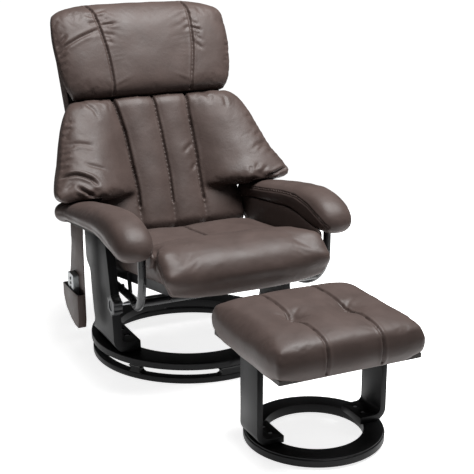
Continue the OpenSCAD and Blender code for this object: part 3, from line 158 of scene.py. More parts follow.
def leatherMaterial():
    s = leatherSet
    made, tree, shader = startMaterial("puLeatherette", {
        "IOR": 1.36, "Specular IOR Level": 0.42, "Sheen Weight": 0.02, "Sheen Roughness": 0.4})
    spot = addNode(tree, "ShaderNodeTexCoord").outputs["Object"]
    cloud = addNode(tree, "ShaderNodeTexNoise", None, {
        "Vector": spot, "Scale": 1 / s["cloud"], "Detail": 4.0, "Roughness": 0.6})
    crease = addNode(tree, "ShaderNodeTexNoise", None, {
        "Vector": spot, "Scale": 1 / s["crease"], "Detail": 4.0, "Roughness": 0.55})
    pebble = addNode(tree, "ShaderNodeTexVoronoi", {"feature": "SMOOTH_F1"}, {
        "Vector": spot, "Scale": 1 / s["grain"], "Smoothness": 0.6})
    folds = addNode(tree, "ShaderNodeBump", None, {
        "Height": crease.outputs["Fac"], "Strength": 0.22, "Distance": 0.003})
    grain = addNode(tree, "ShaderNodeBump", None, {
        "Height": pebble.outputs["Distance"], "Strength": 0.16, "Distance": 0.0008,
        "Normal": folds.outputs["Normal"]})
    coverSurface(tree, shader, cloud.outputs["Fac"], grain, s)
    return made


# Bent beech ply under black satin lacquer: the grain only just telegraphs through the film
lacquerSet = {"light": "#19191a", "dark": "#0e0e0f", "grain": 0.004, "length": 0.09, "rough": (0.34, 0.46)}


def lacquerMaterial():
    s = lacquerSet
    made, tree, shader = startMaterial("blackLacqueredBeech", {"IOR": 1.3, "Specular IOR Level": 0.35})
    spot = addNode(tree, "ShaderNodeTexCoord").outputs["Object"]
    stretch = addNode(tree, "ShaderNodeMapping", None, {
        "Vector": spot, "Scale": (1 / s["grain"], 1 / s["length"], 1 / s["length"])})
    grain = addNode(tree, "ShaderNodeTexNoise", None, {
        "Vector": stretch.outputs["Vector"], "Scale": 1.0, "Detail": 4.0, "Roughness": 0.6})
    relief = addNode(tree, "ShaderNodeBump", None, {
        "Height": grain.outputs["Fac"], "Strength": 0.12, "Distance": 0.0006})
    coverSurface(tree, shader, grain.outputs["Fac"], relief, s)
    return made


# A plain moulded or coated surface: one colour with a slight cloud, and a fine texture in its relief
def coatedMaterial(name, s):
    made, tree, shader = startMaterial(name, {"Metallic": s.get("metallic", 0.0)})
    spot = addNode(tree, "ShaderNodeTexCoord").outputs["Object"]
    cloud = addNode(tree, "ShaderNodeTexNoise", None, {
        "Vector": spot, "Scale": 1 / s["cloud"], "Detail": 2.0})
    fine = addNode(tree, "ShaderNodeTexNoise", None, {
        "Vector": spot, "Scale": 1 / s["grain"], "Detail": 2.0})
    relief = addNode(tree, "ShaderNodeBump", None, {
        "Height": fine.outputs["Fac"], "Strength": s["bump"], "Distance": s["deep"]})
    coverSurface(tree, shader, cloud.outputs["Fac"], relief, s)
    return made


coatedSet = {
    # Powder-coated steel tube: black semi-gloss with a slight orange peel
    "powderCoatedSteel": {"dark": "#0c0c0d", "light": "#161618", "cloud": 0.04, "rough": (0.22, 0.34),
                          "grain": 0.003, "bump": 0.15, "deep": 0.0005},
    # Zinc-plated steel: bright, slightly uneven passivated skin
    "zincPlatedSteel": {"metallic": 1.0, "dark": "#9a9da1", "light": "#c3c5c7", "cloud": 0.01,
                        "rough": (0.25, 0.42), "grain": 0.0015, "bump": 0.1, "deep": 0.0003},
    # Moulded black ABS: fine spark-eroded texture, dull
    "mouldedBlackAbs": {"dark": "#101011", "light": "#1b1b1d", "cloud": 0.02, "rough": (0.4, 0.55),
                        "grain": 0.0012, "bump": 0.25, "deep": 0.0003},
    # Satin grey ABS of the knob's rim
    "satinGreyAbs": {"dark": "#3c3d3f", "light": "#4c4e50", "cloud": 0.02, "rough": (0.35, 0.5),
                     "grain": 0.0012, "bump": 0.15, "deep": 0.0002},
    # Silver-sprayed ABS: pale grey with a satin metallic lacquer
    "silverSprayedAbs": {"metallic": 0.35, "dark": "#8f9394", "light": "#a9adae", "cloud": 0.02,
                         "rough": (0.3, 0.42), "grain": 0.0012, "bump": 0.1, "deep": 0.0002},
    # Birch plywood stained near black where it may show under the covers
    "stainedBirchPly": {"dark": "#1c1815", "light": "#2b2520", "cloud": 0.012, "rough": (0.55, 0.7),
                        "grain": 0.002, "bump": 0.3, "deep": 0.0005},
    # Spun-bonded nonwoven: black dust cloth, coarse and dull
    "spunBondedCloth": {"dark": "#121213", "light": "#212123", "cloud": 0.006, "rough": (0.85, 0.95),
                        "grain": 0.003, "bump": 0.6, "deep": 0.0008},
    # Bonded polyester sewing thread: a shade darker than the leatherette, slightly glossy
    "bondedPolyesterThread": {"dark": "#261e1b", "light": "#3a302c", "cloud": 0.004, "rough": (0.4, 0.55),
                              "grain": 0.0006, "bump": 0.4, "deep": 0.0002},
}
leather = leatherMaterial()
lacquer = lacquerMaterial()
coats = {name: coatedMaterial(name, s) for name, s in coatedSet.items()}
finishes = {
    "brown_leather": leather, "black_wood": lacquer, "steel": coats["zincPlatedSteel"],
    "black_steel": coats["powderCoatedSteel"], "black_plastic": coats["mouldedBlackAbs"],
    "silver_plastic": coats["silverSprayedAbs"], "plywood": coats["stainedBirchPly"],
    "dark_fabric": coats["spunBondedCloth"],
}
slotOf = {row["node"]: row["material_slot"] for row in frame["record"]["subparts"]}
for nodeName, nodeObject in nodes.items():
    for place in nodeObject.material_slots:
        place.material = coats["satinGreyAbs"] if nodeName == "knob_bezel" else finishes[slotOf[nodeName]]
print("materials made")


# Helpers for shapes
def shapeOf(mesh):
    shape = bmesh.new()
    shape.from_mesh(mesh)
    return shape


def meshOf(shape, name):
    mesh = bpy.data.meshes.new(name)
    shape.to_mesh(mesh)
    shape.free()
    return mesh


def meshObject(name, mesh, material, body):
    made = bpy.data.objects.new(name, mesh)
    scene.collection.objects.link(made)
    mesh.materials.clear()
    mesh.materials.append(material)
    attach(made, body)
    return made


def vectorsOf(rows, key):
    flat = np.empty(len(rows) * 3, np.float32)
    rows.foreach_get(key, flat)
    return flat.reshape(-1, 3).astype(float)


def pointsOf(mesh):
    return vectorsOf(mesh.vertices, "co")


def normalsOf(mesh):
    return vectorsOf(mesh.vertex_normals, "vector")


def setPoints(mesh, co):
    mesh.vertices.foreach_set("co", co.astype(np.float32).ravel())
    mesh.update()


def setSmooth(mesh):
    mesh.polygons.foreach_set("use_smooth", [True] * len(mesh.polygons))


def treeOf(mesh):
    shape = shapeOf(mesh)
    tree = BVHTree.FromBMesh(shape)
    shape.free()
    return tree


# A CAD node's shape with its doubled points merged
mergeGap = 0.00002


def mergedShape(nodeName):
    shape = shapeOf(nodes[nodeName].data)
    bmesh.ops.remove_doubles(shape, verts=shape.verts, dist=mergeGap)
    return shape


# Applies whatever modifiers the object has and returns its new mesh
def bakeModifiers(shown):
    graph = bpy.context.evaluated_depsgraph_get()
    baked = bpy.data.meshes.new_from_object(shown.evaluated_get(graph))
    old = shown.data
    shown.modifiers.clear()
    shown.data = baked
    bpy.data.meshes.remove(old)
    return baked


def softenPoints(mesh, rounds):
    shape = shapeOf(mesh)
    for _ in range(rounds):
        bmesh.ops.smooth_vert(shape, verts=shape.verts, factor=0.5, use_axis_x=True, use_axis_y=True,
                              use_axis_z=True)
    shape.to_mesh(mesh)
    shape.free()


# A work object with an even, softened skin over a shape
def reskin(shape, name, s):
    work = bpy.data.objects.new(name + "Work", meshOf(shape, name))
    scene.collection.objects.link(work)
    skin = work.modifiers.new("skin", "REMESH")
    skin.mode = "VOXEL"
    skin.voxel_size = s["voxel"]
    softenPoints(bakeModifiers(work), s["rounds"])
    return work


# The cloth of all the cushions; each has a pressure, a number of frames and a cap of its own
clothSet = {
    "quality": 3, "mass": 0.3, "tension_stiffness": 12.0, "compression_stiffness": 12.0,
    "shear_stiffness": 4.0, "bending_stiffness": 0.3, "air_damping": 2.0, "use_pressure": True,
    "shrink_min": 0.0,
}
holdLevels = 10
tiny = 1e-9


# Cloth under pressure, held where the weights say, moved no further than the cap
def inflate(work, held, s):
    start = pointsOf(work.data)
    group = work.vertex_groups.new(name="held")
    steps = np.round(np.clip(held, 0, 1) * holdLevels).astype(int)
    for level in range(1, holdLevels + 1):
        group.add([int(i) for i in np.nonzero(steps == level)[0]], level / holdLevels, "REPLACE")
    cloth = work.modifiers.new("cloth", "CLOTH")
    for key, value in clothSet.items():
        setattr(cloth.settings, key, value)
    cloth.settings.uniform_pressure_force = s["pressure"]
    cloth.settings.effector_weights.gravity = 0.0
    cloth.settings.vertex_group_mass = "held"
    cloth.collision_settings.use_collision = False
    cloth.point_cache.frame_start = 1
    cloth.point_cache.frame_end = s["frames"]
    for step in range(1, s["frames"] + 1):
        scene.frame_set(step)
    graph = bpy.context.evaluated_depsgraph_get()
    moved = pointsOf(work.evaluated_get(graph).to_mesh())
    work.evaluated_get(graph).to_mesh_clear()
    work.modifiers.clear()
    scene.frame_set(1)
    shift = moved - start
    size = np.linalg.norm(shift, axis=1)
    cap = s["cap"]
    share = np.where(size > tiny, cap * np.tanh(size / cap) / np.maximum(size, tiny), 0)
    setPoints(work.data, start + shift * share[:, None])
    print(work.name, "inflated, widest move", round(float((size * share).max()) * 1000, 1), "mm")


# One round of subdivision, kept in the mesh
def refine(work):
    smooth = work.modifiers.new("smooth", "SUBSURF")
    smooth.levels = 1
    smooth.render_levels = 1
    return bakeModifiers(work)


# Turns a work object into the finished piece
def finishSoft(work, name, nodeName, body):
    mesh = work.data
    mesh.name = name
    bpy.data.objects.remove(work)
    setSmooth(mesh)
    made = meshObject(name, mesh, leather, body)
    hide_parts(nodeName)
    return made


def bell(distance, width):
    return np.exp(-(distance / width) ** 2)


def easeStep(value, low, high):
    t = np.clip((value - low) / (high - low), 0, 1)
    return t * t * (3 - 2 * t)


# Leaning frames of the back and the seat, as in the part
backFrame = {"origin": (0, 0.175, 0.3), "lean": 25.5}
seatFrame = {"origin": (0, 0.092, 0.24), "lean": 9.9}


# From the part's frame into a leaning one
def leaning(co, leanFrame):
    origin, turned = leanFrame["origin"], math.radians(leanFrame["lean"])
    c, s = math.cos(turned), math.sin(turned)
    y, z = co[:, 1] - origin[1], co[:, 2] - origin[2]
    return np.column_stack((co[:, 0], y * c - z * s, y * s + z * c))


# From a leaning frame into the part's
def upright(local, leanFrame):
    origin, turned = leanFrame["origin"], math.radians(leanFrame["lean"])
    c, s = math.cos(turned), math.sin(turned)
    y, z = local[:, 1], local[:, 2]
    return np.column_stack((local[:, 0], origin[1] + y * c + z * s, origin[2] - y * s + z * c))


# Places over the back, given sideways and up at one depth
def overBack(places, depth):
    return upright(np.array([(x, depth, high) for x, high in places]), backFrame)


# Keeps the chosen part of a skin clear of the side panels
def clampSides(mesh, chosen, half):
    co = pointsOf(mesh)
    co[chosen, 0] = np.clip(co[chosen, 0], -half, half)
    setPoints(mesh, co)


def mirrored(rows):
    return [[(-x, y, z) for x, y, z in row] for row in rows]


# A line through the given places, laid on the skin; the places are in millimetres
lineSet = {"spacing": 0.003, "rounds": 6}


def lineOn(tree, places, spacing):
    corners = np.array(places, float) / 1000
    steps = np.linalg.norm(np.diff(corners, axis=0), axis=1)
    along = np.concatenate(([0], np.cumsum(steps)))
    wanted = np.linspace(0, along[-1], max(3, int(along[-1] / spacing)))
    line = np.column_stack([np.interp(wanted, along, corners[:, k]) for k in range(3)])
    for _ in range(lineSet["rounds"]):
        line[1:-1] = (line[:-2] + 2 * line[1:-1] + line[2:]) / 4
    laid, ways = [], []
    for point in line:
        near, way, face, far = tree.find_nearest(Vector(point))
        laid.append(near)
        ways.append(way)
    return np.array(laid), np.array(ways)


# Presses lines into a skin: a valley with a soft lip on each side, fading at the ends unless it is a seam.
# The reach, the lip and the most that the skin rises or sinks are shares of the line's width and depth.
pressSet = {"reach": 5, "lipAt": 2.3, "lipWide": 1.3, "most": 1.3, "endShare": 0.06, "midShare": 0.88,
            "fade": 1.5}


def pressLines(mesh, rows, wide, deep, lip=0.3, seam=False):
    s = pressSet
    tree = treeOf(mesh)
    co, no = pointsOf(mesh), normalsOf(mesh)
    shift = np.zeros(len(co))
    for places in rows:
        line, ways = lineOn(tree, places, lineSet["spacing"])
        share = np.linspace(0, 1, len(line))
        ends = s["endShare"] + s["midShare"] * share
        fade = np.ones(len(line)) if seam else np.clip(np.sin(np.pi * ends) * s["fade"], 0, 1)
        reach = wide * s["reach"]
        close = np.nonzero(((co > line.min(0) - reach) & (co < line.max(0) + reach)).all(1))[0]
        if not len(close):
            continue
        gap = np.linalg.norm(co[close][:, None, :] - line[None, :, :], axis=2)
        at = gap.argmin(1)
        gap = gap.min(1)
        facing = np.clip((no[close] * ways[at]).sum(1), 0, 1)
        form = -bell(gap, wide) + lip * bell(gap - wide * s["lipAt"], wide * s["lipWide"])
        shift[close] += form * fade[at] * facing * deep
    setPoints(mesh, co + no * np.clip(shift, -deep * s["most"], deep)[:, None])


# Low, soft unevenness of a cover over foam
def loosen(mesh, scale, deep, seed):
    co, no = pointsOf(mesh), normalsOf(mesh)
    away = Vector((seed, seed * 0.7, seed * 1.3))
    wave = np.array([noise.noise(Vector(p) / scale + away) for p in co])
    setPoints(mesh, co + no * (wave * deep)[:, None])


# Slides the skin sideways so that the solid's valleys follow the sewn lines
def slideSeams(co, local, solid, s):
    for name, side in (("left", -1), ("right", 1), ("middle", 0)):
        if name in s["sewn"]:
            wanted = np.interp(local[:, 2], s["heights"], s["sewn"][name])
            valley = solid * side
            co[:, 0] += (wanted - valley) * bell(co[:, 0] - valley, s["slide"][name])


# How firmly the sewn lines hold the skin
def sewnHold(co, local, front, s):
    held = np.zeros(len(co))
    for sewn in s["sewn"].values():
        away = co[:, 0] - np.interp(local[:, 2], s["heights"], sewn)
        held = np.maximum(held, bell(away, s["hold"]) * front)
    return held


# Drops the sewn lines from in front of the back onto its skin, along the back's own depth, in millimetres
dropReach = 0.16


def layDown(mesh, s):
    tree = treeOf(mesh)
    turned = math.radians(backFrame["lean"])
    way = Vector((0, math.cos(turned), -math.sin(turned)))
    laid = {}
    for name, sewn in s["sewn"].items():
        laid[name] = []
        for point in overBack(zip(sewn, s["heights"]), s["depth"]):
            spot, normal, face, far = tree.ray_cast(Vector(point), way)
            if spot is not None and far < dropReach:
                laid[name].append(tuple(1000 * v for v in spot))
    return laid


# Rows of stitches on both sides of a seam, sunk by half in the skin
stitchSet = {"pitch": 0.005, "size": (0.0018, 0.0005, 0.0004), "off": 0.0038}


def sewRows(name, mesh, rows, body):
    tree = treeOf(mesh)
    shape = bmesh.new()
    for places in rows:
        line, ways = lineOn(tree, places, stitchSet["pitch"])
        for i in range(1, len(line) - 1):
            along = Vector(line[i + 1] - line[i - 1]).normalized()
            across = Vector(ways[i]).cross(along).normalized()
            for side in (-1, 1):
                wanted = Vector(line[i]) + across * side * stitchSet["off"]
                spot, way, face, far = tree.find_nearest(wanted)
                aside = way.cross(along).normalized()
                turned = Matrix((along, aside, along.cross(aside))).transposed().to_4x4()
                place = Matrix.Translation(spot) @ turned @ Matrix.Diagonal((*stitchSet["size"], 1))
                bmesh.ops.create_icosphere(shape, subdivisions=1, radius=1, matrix=place)
    made = meshOf(shape, name)
    setSmooth(made)
    return meshObject(name, made, coats["bondedPolyesterThread"], body)


# A corded welt laid on the skin along a line, lifted by a share of its radius
weltSet = {"spacing": 0.005, "lift": 0.15, "rounds": 2}


def weltAlong(name, mesh, rows, radius, body):
    tree = treeOf(mesh)
    curve = bpy.data.curves.new(name, "CURVE")
    curve.dimensions = "3D"
    curve.bevel_depth = radius
    curve.bevel_resolution = weltSet["rounds"]
    curve.use_fill_caps = True
    for places in rows:
        line, ways = lineOn(tree, places, weltSet["spacing"])
        line = line + ways * radius * weltSet["lift"]
        spline = curve.splines.new("POLY")
        spline.points.add(len(line) - 1)
        for point, spot in zip(spline.points, line):
            point.co = (*spot, 1)
    holder = bpy.data.objects.new(name + "Work", curve)
    scene.collection.objects.link(holder)
    graph = bpy.context.evaluated_depsgraph_get()
    made = bpy.data.meshes.new_from_object(holder.evaluated_get(graph))
    bpy.data.objects.remove(holder)
    made.name = name
    setSmooth(made)
    return meshObject(name, made, leather, body)


# Small pale floor that glows a little, as white as the photo's ground
floorSet = {"size": 1.25, "below": 0.0005, "colour": "#f4f4f4", "rough": 0.95, "glow": 0.9}
floorShape = bmesh.new()
bmesh.ops.create_grid(floorShape, x_segments=2, y_segments=2, size=floorSet["size"])
floorMesh = meshOf(floorShape, "studioFloor")
floorObject = bpy.data.objects.new("studioFloor", floorMesh)
floorObject.location = (0, 0, -floorSet["below"])
scene.collection.objects.link(floorObject)
floorColour = hexColour(floorSet["colour"])
floorMaterial = startMaterial("paleFloor", {
    "Roughness": floorSet["rough"], "Base Color": floorColour, "Emission Color": floorColour,
    "Emission Strength": floorSet["glow"]})[0]
floorMesh.materials.append(floorMaterial)

# Seat cushion: two rear panels, a cross seam and a full front roll with corner seams. Here and below the
# lines are in millimetres, and pairs such as "rollAhead" are where an ease step starts and ends.
seatSet = {
    "voxel": 0.006, "rounds": 3, "pressure": 3.5, "frames": 12, "cap": 0.010, "fill": 0.7,
    "crossSeam": -0.267, "crossHold": 0.009, "middleHold": 0.008, "topFrom": 0.2,
    "lowHold": (-0.034, -0.028), "half": 0.2452, "halfFrom": -0.41,
    "rollAhead": (0.40, 0.48), "rollUp": 0.15, "rollGain": 2, "rollFill": 0.014, "rollRounds": 3,
    "endSide": (0.15, 0.24), "endFill": 0.012,
    "apron": 0.022, "apronHalf": 0.25, "apronPower": 3, "apronAhead": (0.485, 0.497),
    "apronLow": (-0.062, -0.002),
    "loose": {"scale": 0.05, "deep": 0.0012, "seed": 3.1},
    "crossPress": {"wide": 0.0032, "deep": 0.006, "lip": 0.25, "seam": True},
    "cornerPress": {"wide": 0.0028, "deep": 0.0035, "lip": 0.3, "seam": True},
    "softPress": {"wide": 0.006, "deep": 0.0012},
    "deepPress": {"wide": 0.005, "deep": 0.004},
    "cross": [
        [(-236, -163, 384), (-160, -169, 389), (-60, -170, 389), (60, -170, 389), (160, -169, 389),
         (236, -163, 384)],
    ],
    "middle": [[(0, 60, 372), (0, 0, 378), (0, -80, 386), (0, -166, 389)]],
    "corner": [
        [(-229, -340, 418), (-233, -368, 404), (-236, -392, 385), (-238, -412, 358), (-229, -412, 326)],
    ],
    "soft": [
        [(-224, -285, 418), (-218, -312, 422)], [(-232, -312, 419), (-228, -344, 414)],
        [(-208, -260, 417), (-186, -277, 422)], [(-238, -340, 411), (-234, -366, 399)],
        [(8, -152, 390), (41, -133, 389)], [(-2, -185, 392), (-36, -205, 398)],
        [(225, -300, 420), (214, -320, 424)], [(231, -330, 416), (224, -352, 414)],
        [(120, -160, 389), (131, -130, 385)], [(-120, -160, 389), (-128, -132, 386)],
    ],
    "deep": [[(-226, -298, 419), (-231, -324, 417), (-235, -348, 410)]],
}


# Fills the front roll out and brings the cover down over the frame's front
def fillRoll(mesh):
    s = seatSet
    co, no = pointsOf(mesh), normalsOf(mesh)
    local = leaning(co, seatFrame)
    turned = math.radians(seatFrame["lean"])
    ahead = -(no[:, 1] * math.cos(turned) - no[:, 2] * math.sin(turned))
    above = no[:, 1] * math.sin(turned) + no[:, 2] * math.cos(turned)
    front = easeStep(-local[:, 1], *s["rollAhead"])
    slope = np.clip(ahead, 0, 1) * np.clip(above + s["rollUp"], 0, 1) * s["rollGain"]
    end = easeStep(np.abs(co[:, 0]), *s["endSide"])
    swell = front * slope * (s["rollFill"] + s["endFill"] * end)
    local += np.column_stack((no[:, 0], -ahead, above)) * swell[:, None]
    deep = np.clip(s["apron"] * (1 - (np.abs(co[:, 0]) / s["apronHalf"]) ** s["apronPower"]), 0, None)
    local[:, 2] -= deep * easeStep(-local[:, 1], *s["apronAhead"]) * easeStep(-local[:, 2], *s["apronLow"])
    setPoints(mesh, upright(local, seatFrame))


def makeSeatCushion():
    s = seatSet
    work = reskin(mergedShape("seat_cushion"), "seatCushion", s)
    mesh = work.data
    fillRoll(mesh)
    softenPoints(mesh, s["rollRounds"])
    local = leaning(pointsOf(mesh), seatFrame)
    top = normalsOf(mesh)[:, 2] > s["topFrom"]
    cross = bell(local[:, 1] - s["crossSeam"], s["crossHold"]) * top
    middle = bell(local[:, 0], s["middleHold"]) * (local[:, 1] > s["crossSeam"]) * top
    low = easeStep(-local[:, 2], *s["lowHold"])
    inflate(work, np.maximum.reduce([cross, middle, low]), s)
    mesh = refine(work)
    loosen(mesh, **s["loose"])
    clampSides(mesh, leaning(pointsOf(mesh), seatFrame)[:, 1] > s["halfFrom"], s["half"])
    pressLines(mesh, s["cross"] + s["middle"], **s["crossPress"])
    pressLines(mesh, s["corner"] + mirrored(s["corner"]), **s["cornerPress"])
    pressLines(mesh, s["soft"], **s["softPress"])
    pressLines(mesh, s["deep"] + mirrored(s["deep"]), **s["deepPress"])
    made = finishSoft(work, "seatCushion", "seat_cushion", "turntable")
    sewRows("seatStitches", made.data, s["cross"] + s["middle"], "turntable")


makeSeatCushion()

# Back cushion: two middle channels, wings with gathers along their outer edges. The solid's valleys go
# straight from "seamLow" to "seamTop", and "sewn" says where the seams run at each of the heights.
backSet = {
    "voxel": 0.006, "rounds": 3, "pressure": 3.5, "frames": 12, "cap": 0.010, "fill": 0.75,
    "seamLow": 0.104, "seamTop": 0.125, "start": 0.008, "long": 0.424, "frontFrom": (0.1, 0.4),
    "slide": {"left": 0.042, "middle": 0.03, "right": 0.042}, "hold": 0.009, "rearHold": (-0.056, -0.046),
    "wingSag": 0.004, "wingLow": (-0.19, -0.13), "wingSide": (0.24, 0.27),
    "tipSag": 0.003, "tipFill": 0.006, "tipLow": (-0.23, -0.17), "tipSide": (0.30, 0.37),
    "footFill": 0.009, "footLow": (-0.118, -0.100), "footSide": (0.19, 0.235), "footAhead": (0.045, 0.07),
    "footHalf": 0.2452, "footTop": 0.116, "depth": -0.155,
    "loose": {"scale": 0.06, "deep": 0.0014, "seed": 7.3},
    "wingPress": {"wide": 0.0042, "deep": 0.010, "lip": 0.15, "seam": True},
    "middlePress": {"wide": 0.0034, "deep": 0.007, "lip": 0.2, "seam": True},
    "softPress": {"wide": 0.006, "deep": 0.0024},
    "deepPress": {"wide": 0.0048, "deep": 0.009, "lip": 0.3},
    "heights": [0.0, 0.09, 0.14, 0.17, 0.23, 0.28, 0.32, 0.36, 0.394, 0.432],
    "sewn": {
        "left": [-0.108, -0.107, -0.105, -0.106, -0.109, -0.111, -0.113, -0.119, -0.125, -0.131],
        "middle": [-0.004, 0.001, 0.004, 0.006, 0.006, 0.005, 0.004, 0.002, 0.001, -0.001],
        "right": [0.099, 0.105, 0.103, 0.104, 0.108, 0.107, 0.108, 0.107, 0.108, 0.113],
    },
    "deep": [
        [(-357, 109, 542), (-333, 106, 545), (-310, 104, 546), (-289, 95, 541), (-268, 86, 531),
         (-257, 73, 518)],
        [(-313, 71, 516), (-300, 62, 507), (-285, 60, 497), (-272, 60, 488)],
        [(296, 58, 486), (315, 58, 492), (340, 62, 501), (365, 70, 508)],
    ],
    "soft": [
        [(-322, 178, 623), (-288, 170, 623), (-239, 161, 615)], [(-314, 191, 641), (-293, 198, 658)],
        [(-329, 169, 610), (-290, 165, 616)], [(-335, 159, 598), (-306, 154, 600)],
        [(-344, 143, 578), (-306, 140, 584)], [(-316, 211, 661), (-286, 200, 663)],
        [(-350, 128, 561), (-320, 127, 567)],
        [(-233, 274, 731), (-224, 248, 725), (-206, 229, 709), (-199, 215, 686)],
        [(269, 117, 562), (291, 126, 571), (314, 137, 579), (334, 142, 580)],
        [(283, 110, 556), (303, 121, 564), (322, 133, 573)], [(334, 65, 486), (362, 64, 495)],
        [(294, 176, 628), (317, 179, 626)], [(338, 101, 539), (361, 110, 542)],
        [(228, 235, 716), (225, 214, 688)], [(274, 58, 504), (298, 70, 518)],
        [(253, 65, 511), (271, 79, 525)], [(240, 70, 500), (246, 78, 520)],
        [(100, 190, 586), (79, 181, 577), (62, 174, 564)], [(97, 163, 528), (78, 149, 511)],
        [(-275, 123, 569), (-241, 115, 559), (-217, 114, 550)], [(-326, 84, 526), (-351, 74, 514)],
        [(-326, 59, 500), (-303, 59, 488)], [(312, 160, 604), (294, 152, 600)],
        [(300, 200, 652), (284, 196, 650)], [(340, 118, 556), (322, 110, 552)],
        [(-300, 220, 676), (-280, 216, 678)],
    ],
}


def makeBackCushion():
    s = backSet
    work = reskin(mergedShape("back_cushion"), "backCushion", s)
    mesh = work.data
    co = pointsOf(mesh)
    local = leaning(co, backFrame)
    front = easeStep(-normalsOf(mesh)[:, 1], *s["frontFrom"])
    share = np.clip((local[:, 2] - s["start"]) / s["long"], 0, 1)
    slideSeams(co, local, s["seamLow"] + (s["seamTop"] - s["seamLow"]) * share, s)
    wing = easeStep(-local[:, 2], *s["wingLow"]) * easeStep(np.abs(co[:, 0]), *s["wingSide"])
    tip = easeStep(-local[:, 2], *s["tipLow"]) * easeStep(np.abs(co[:, 0]), *s["tipSide"])
    co[:, 2] -= s["wingSag"] * wing + s["tipSag"] * tip
    co[:, 0] += np.sign(co[:, 0]) * s["tipFill"] * tip
    foot = easeStep(-local[:, 2], *s["footLow"]) * easeStep(np.abs(co[:, 0]), *s["footSide"])
    foot = foot * easeStep(-local[:, 1], *s["footAhead"])
    co[:, 0] += np.sign(co[:, 0]) * s["footFill"] * foot
    setPoints(mesh, co)
    rear = easeStep(local[:, 1], *s["rearHold"])
    inflate(work, np.maximum(sewnHold(co, local, front, s), rear), s)
    mesh = refine(work)
    loosen(mesh, **s["loose"])
    clampSides(mesh, leaning(pointsOf(mesh), backFrame)[:, 2] < s["footTop"], s["footHalf"])
    laid = layDown(mesh, s)
    pressLines(mesh, [laid["left"], laid["right"]], **s["wingPress"])
    pressLines(mesh, [laid["middle"]], **s["middlePress"])
    pressLines(mesh, s["soft"], **s["softPress"])
    pressLines(mesh, s["deep"], **s["deepPress"])
    finishSoft(work, "backCushion", "back_cushion", "back")


makeBackCushion()

# Headrest: two curved seams with gathers, rolled over its top edge
headSet = {
    "voxel": 0.0055, "rounds": 3, "pressure": 3.5, "frames": 12, "cap": 0.008, "fill": 0.8,
    "seam": 0.131, "flare": 0.027, "start": 0.438, "long": 0.297, "frontFrom": (0.0, 0.3),
    "slide": {"left": 0.045, "right": 0.045}, "hold": 0.008, "rearHold": (-0.056, -0.046), "depth": -0.17,
    "loose": {"scale": 0.055, "deep": 0.0012, "seed": 11.9},
    "seamPress": {"wide": 0.0034, "deep": 0.006, "lip": 0.25, "seam": True},
    "softPress": {"wide": 0.0055, "deep": 0.0019},
    "deepPress": {"wide": 0.005, "deep": 0.0042, "lip": 0.3},
    "heights": [0.44, 0.475, 0.51, 0.55, 0.585, 0.62, 0.66, 0.70, 0.735],
    "sewn": {
        "left": [-0.127, -0.127, -0.127, -0.129, -0.132, -0.137, -0.144, -0.151, -0.160],
        "right": [0.127, 0.133, 0.141, 0.149, 0.155, 0.158, 0.160, 0.160, 0.158],
    },
    "deep": [
        [(-143, 340, 934), (-176, 329, 925), (-210, 324, 913), (-243, 320, 897), (-277, 322, 881)],
        [(-136, 341, 946), (-114, 340, 948), (-91, 340, 948)],
        [(-282, 328, 886), (-264, 330, 906), (-251, 333, 920)],
        [(-283, 318, 864), (-267, 317, 878), (-254, 317, 886)],
        [(160, 331, 926), (171, 328, 923), (187, 325, 916)],
    ],
    "soft": [
        [(-148, 368, 977), (-127, 371, 985), (-109, 376, 988)],
        [(-143, 356, 966), (-126, 356, 971), (-109, 359, 976)], [(-140, 348, 954), (-110, 349, 962)],
        [(-134, 337, 937), (-112, 335, 939)], [(-134, 329, 923), (-117, 325, 919), (-98, 323, 916)],
        [(-133, 324, 911), (-113, 319, 908)], [(-133, 318, 900), (-109, 313, 896)],
        [(-142, 349, 954), (-176, 343, 951)], [(-142, 335, 923), (-178, 325, 917)],
        [(-148, 360, 966), (-170, 359, 973)], [(-156, 364, 975), (-182, 361, 976)],
        [(-282, 358, 943), (-267, 364, 962)], [(-283, 340, 909), (-273, 340, 920), (-260, 340, 928)],
        [(-285, 313, 846), (-260, 310, 866)], [(-282, 306, 829), (-264, 302, 844)],
        [(164, 341, 946), (171, 336, 937), (184, 333, 932)], [(162, 324, 914), (184, 319, 904)],
        [(164, 319, 905), (175, 315, 896), (184, 310, 886)], [(133, 328, 921), (154, 332, 929)],
        [(157, 358, 970), (169, 352, 964)], [(137, 342, 948), (155, 343, 950)],
        [(290, 332, 884), (272, 319, 880)], [(283, 313, 849), (264, 303, 848)],
        [(288, 358, 934), (275, 348, 934)], [(276, 298, 819), (254, 291, 821)],
        [(162, 308, 881), (182, 299, 862)], [(286, 322, 866), (268, 311, 864)],
        [(280, 304, 832), (262, 296, 832)],
    ],
}


def makeHeadrest():
    s = headSet
    work = reskin(mergedShape("headrest"), "headrestCushion", s)
    mesh = work.data
    co = pointsOf(mesh)
    local = leaning(co, backFrame)
    front = easeStep(-normalsOf(mesh)[:, 1], *s["frontFrom"])
    share = np.clip((local[:, 2] - s["start"]) / s["long"], 0, 1)
    slideSeams(co, local, s["seam"] + s["flare"] * share ** 2, s)
    setPoints(mesh, co)
    rear = easeStep(local[:, 1], *s["rearHold"])
    inflate(work, np.maximum(sewnHold(co, local, front, s), rear), s)
    mesh = refine(work)
    loosen(mesh, **s["loose"])
    pressLines(mesh, list(layDown(mesh, s).values()), **s["seamPress"])
    pressLines(mesh, s["soft"], **s["softPress"])
    pressLines(mesh, s["deep"], **s["deepPress"])
    finishSoft(work, "headrestCushion", "headrest", "back")


makeHeadrest()

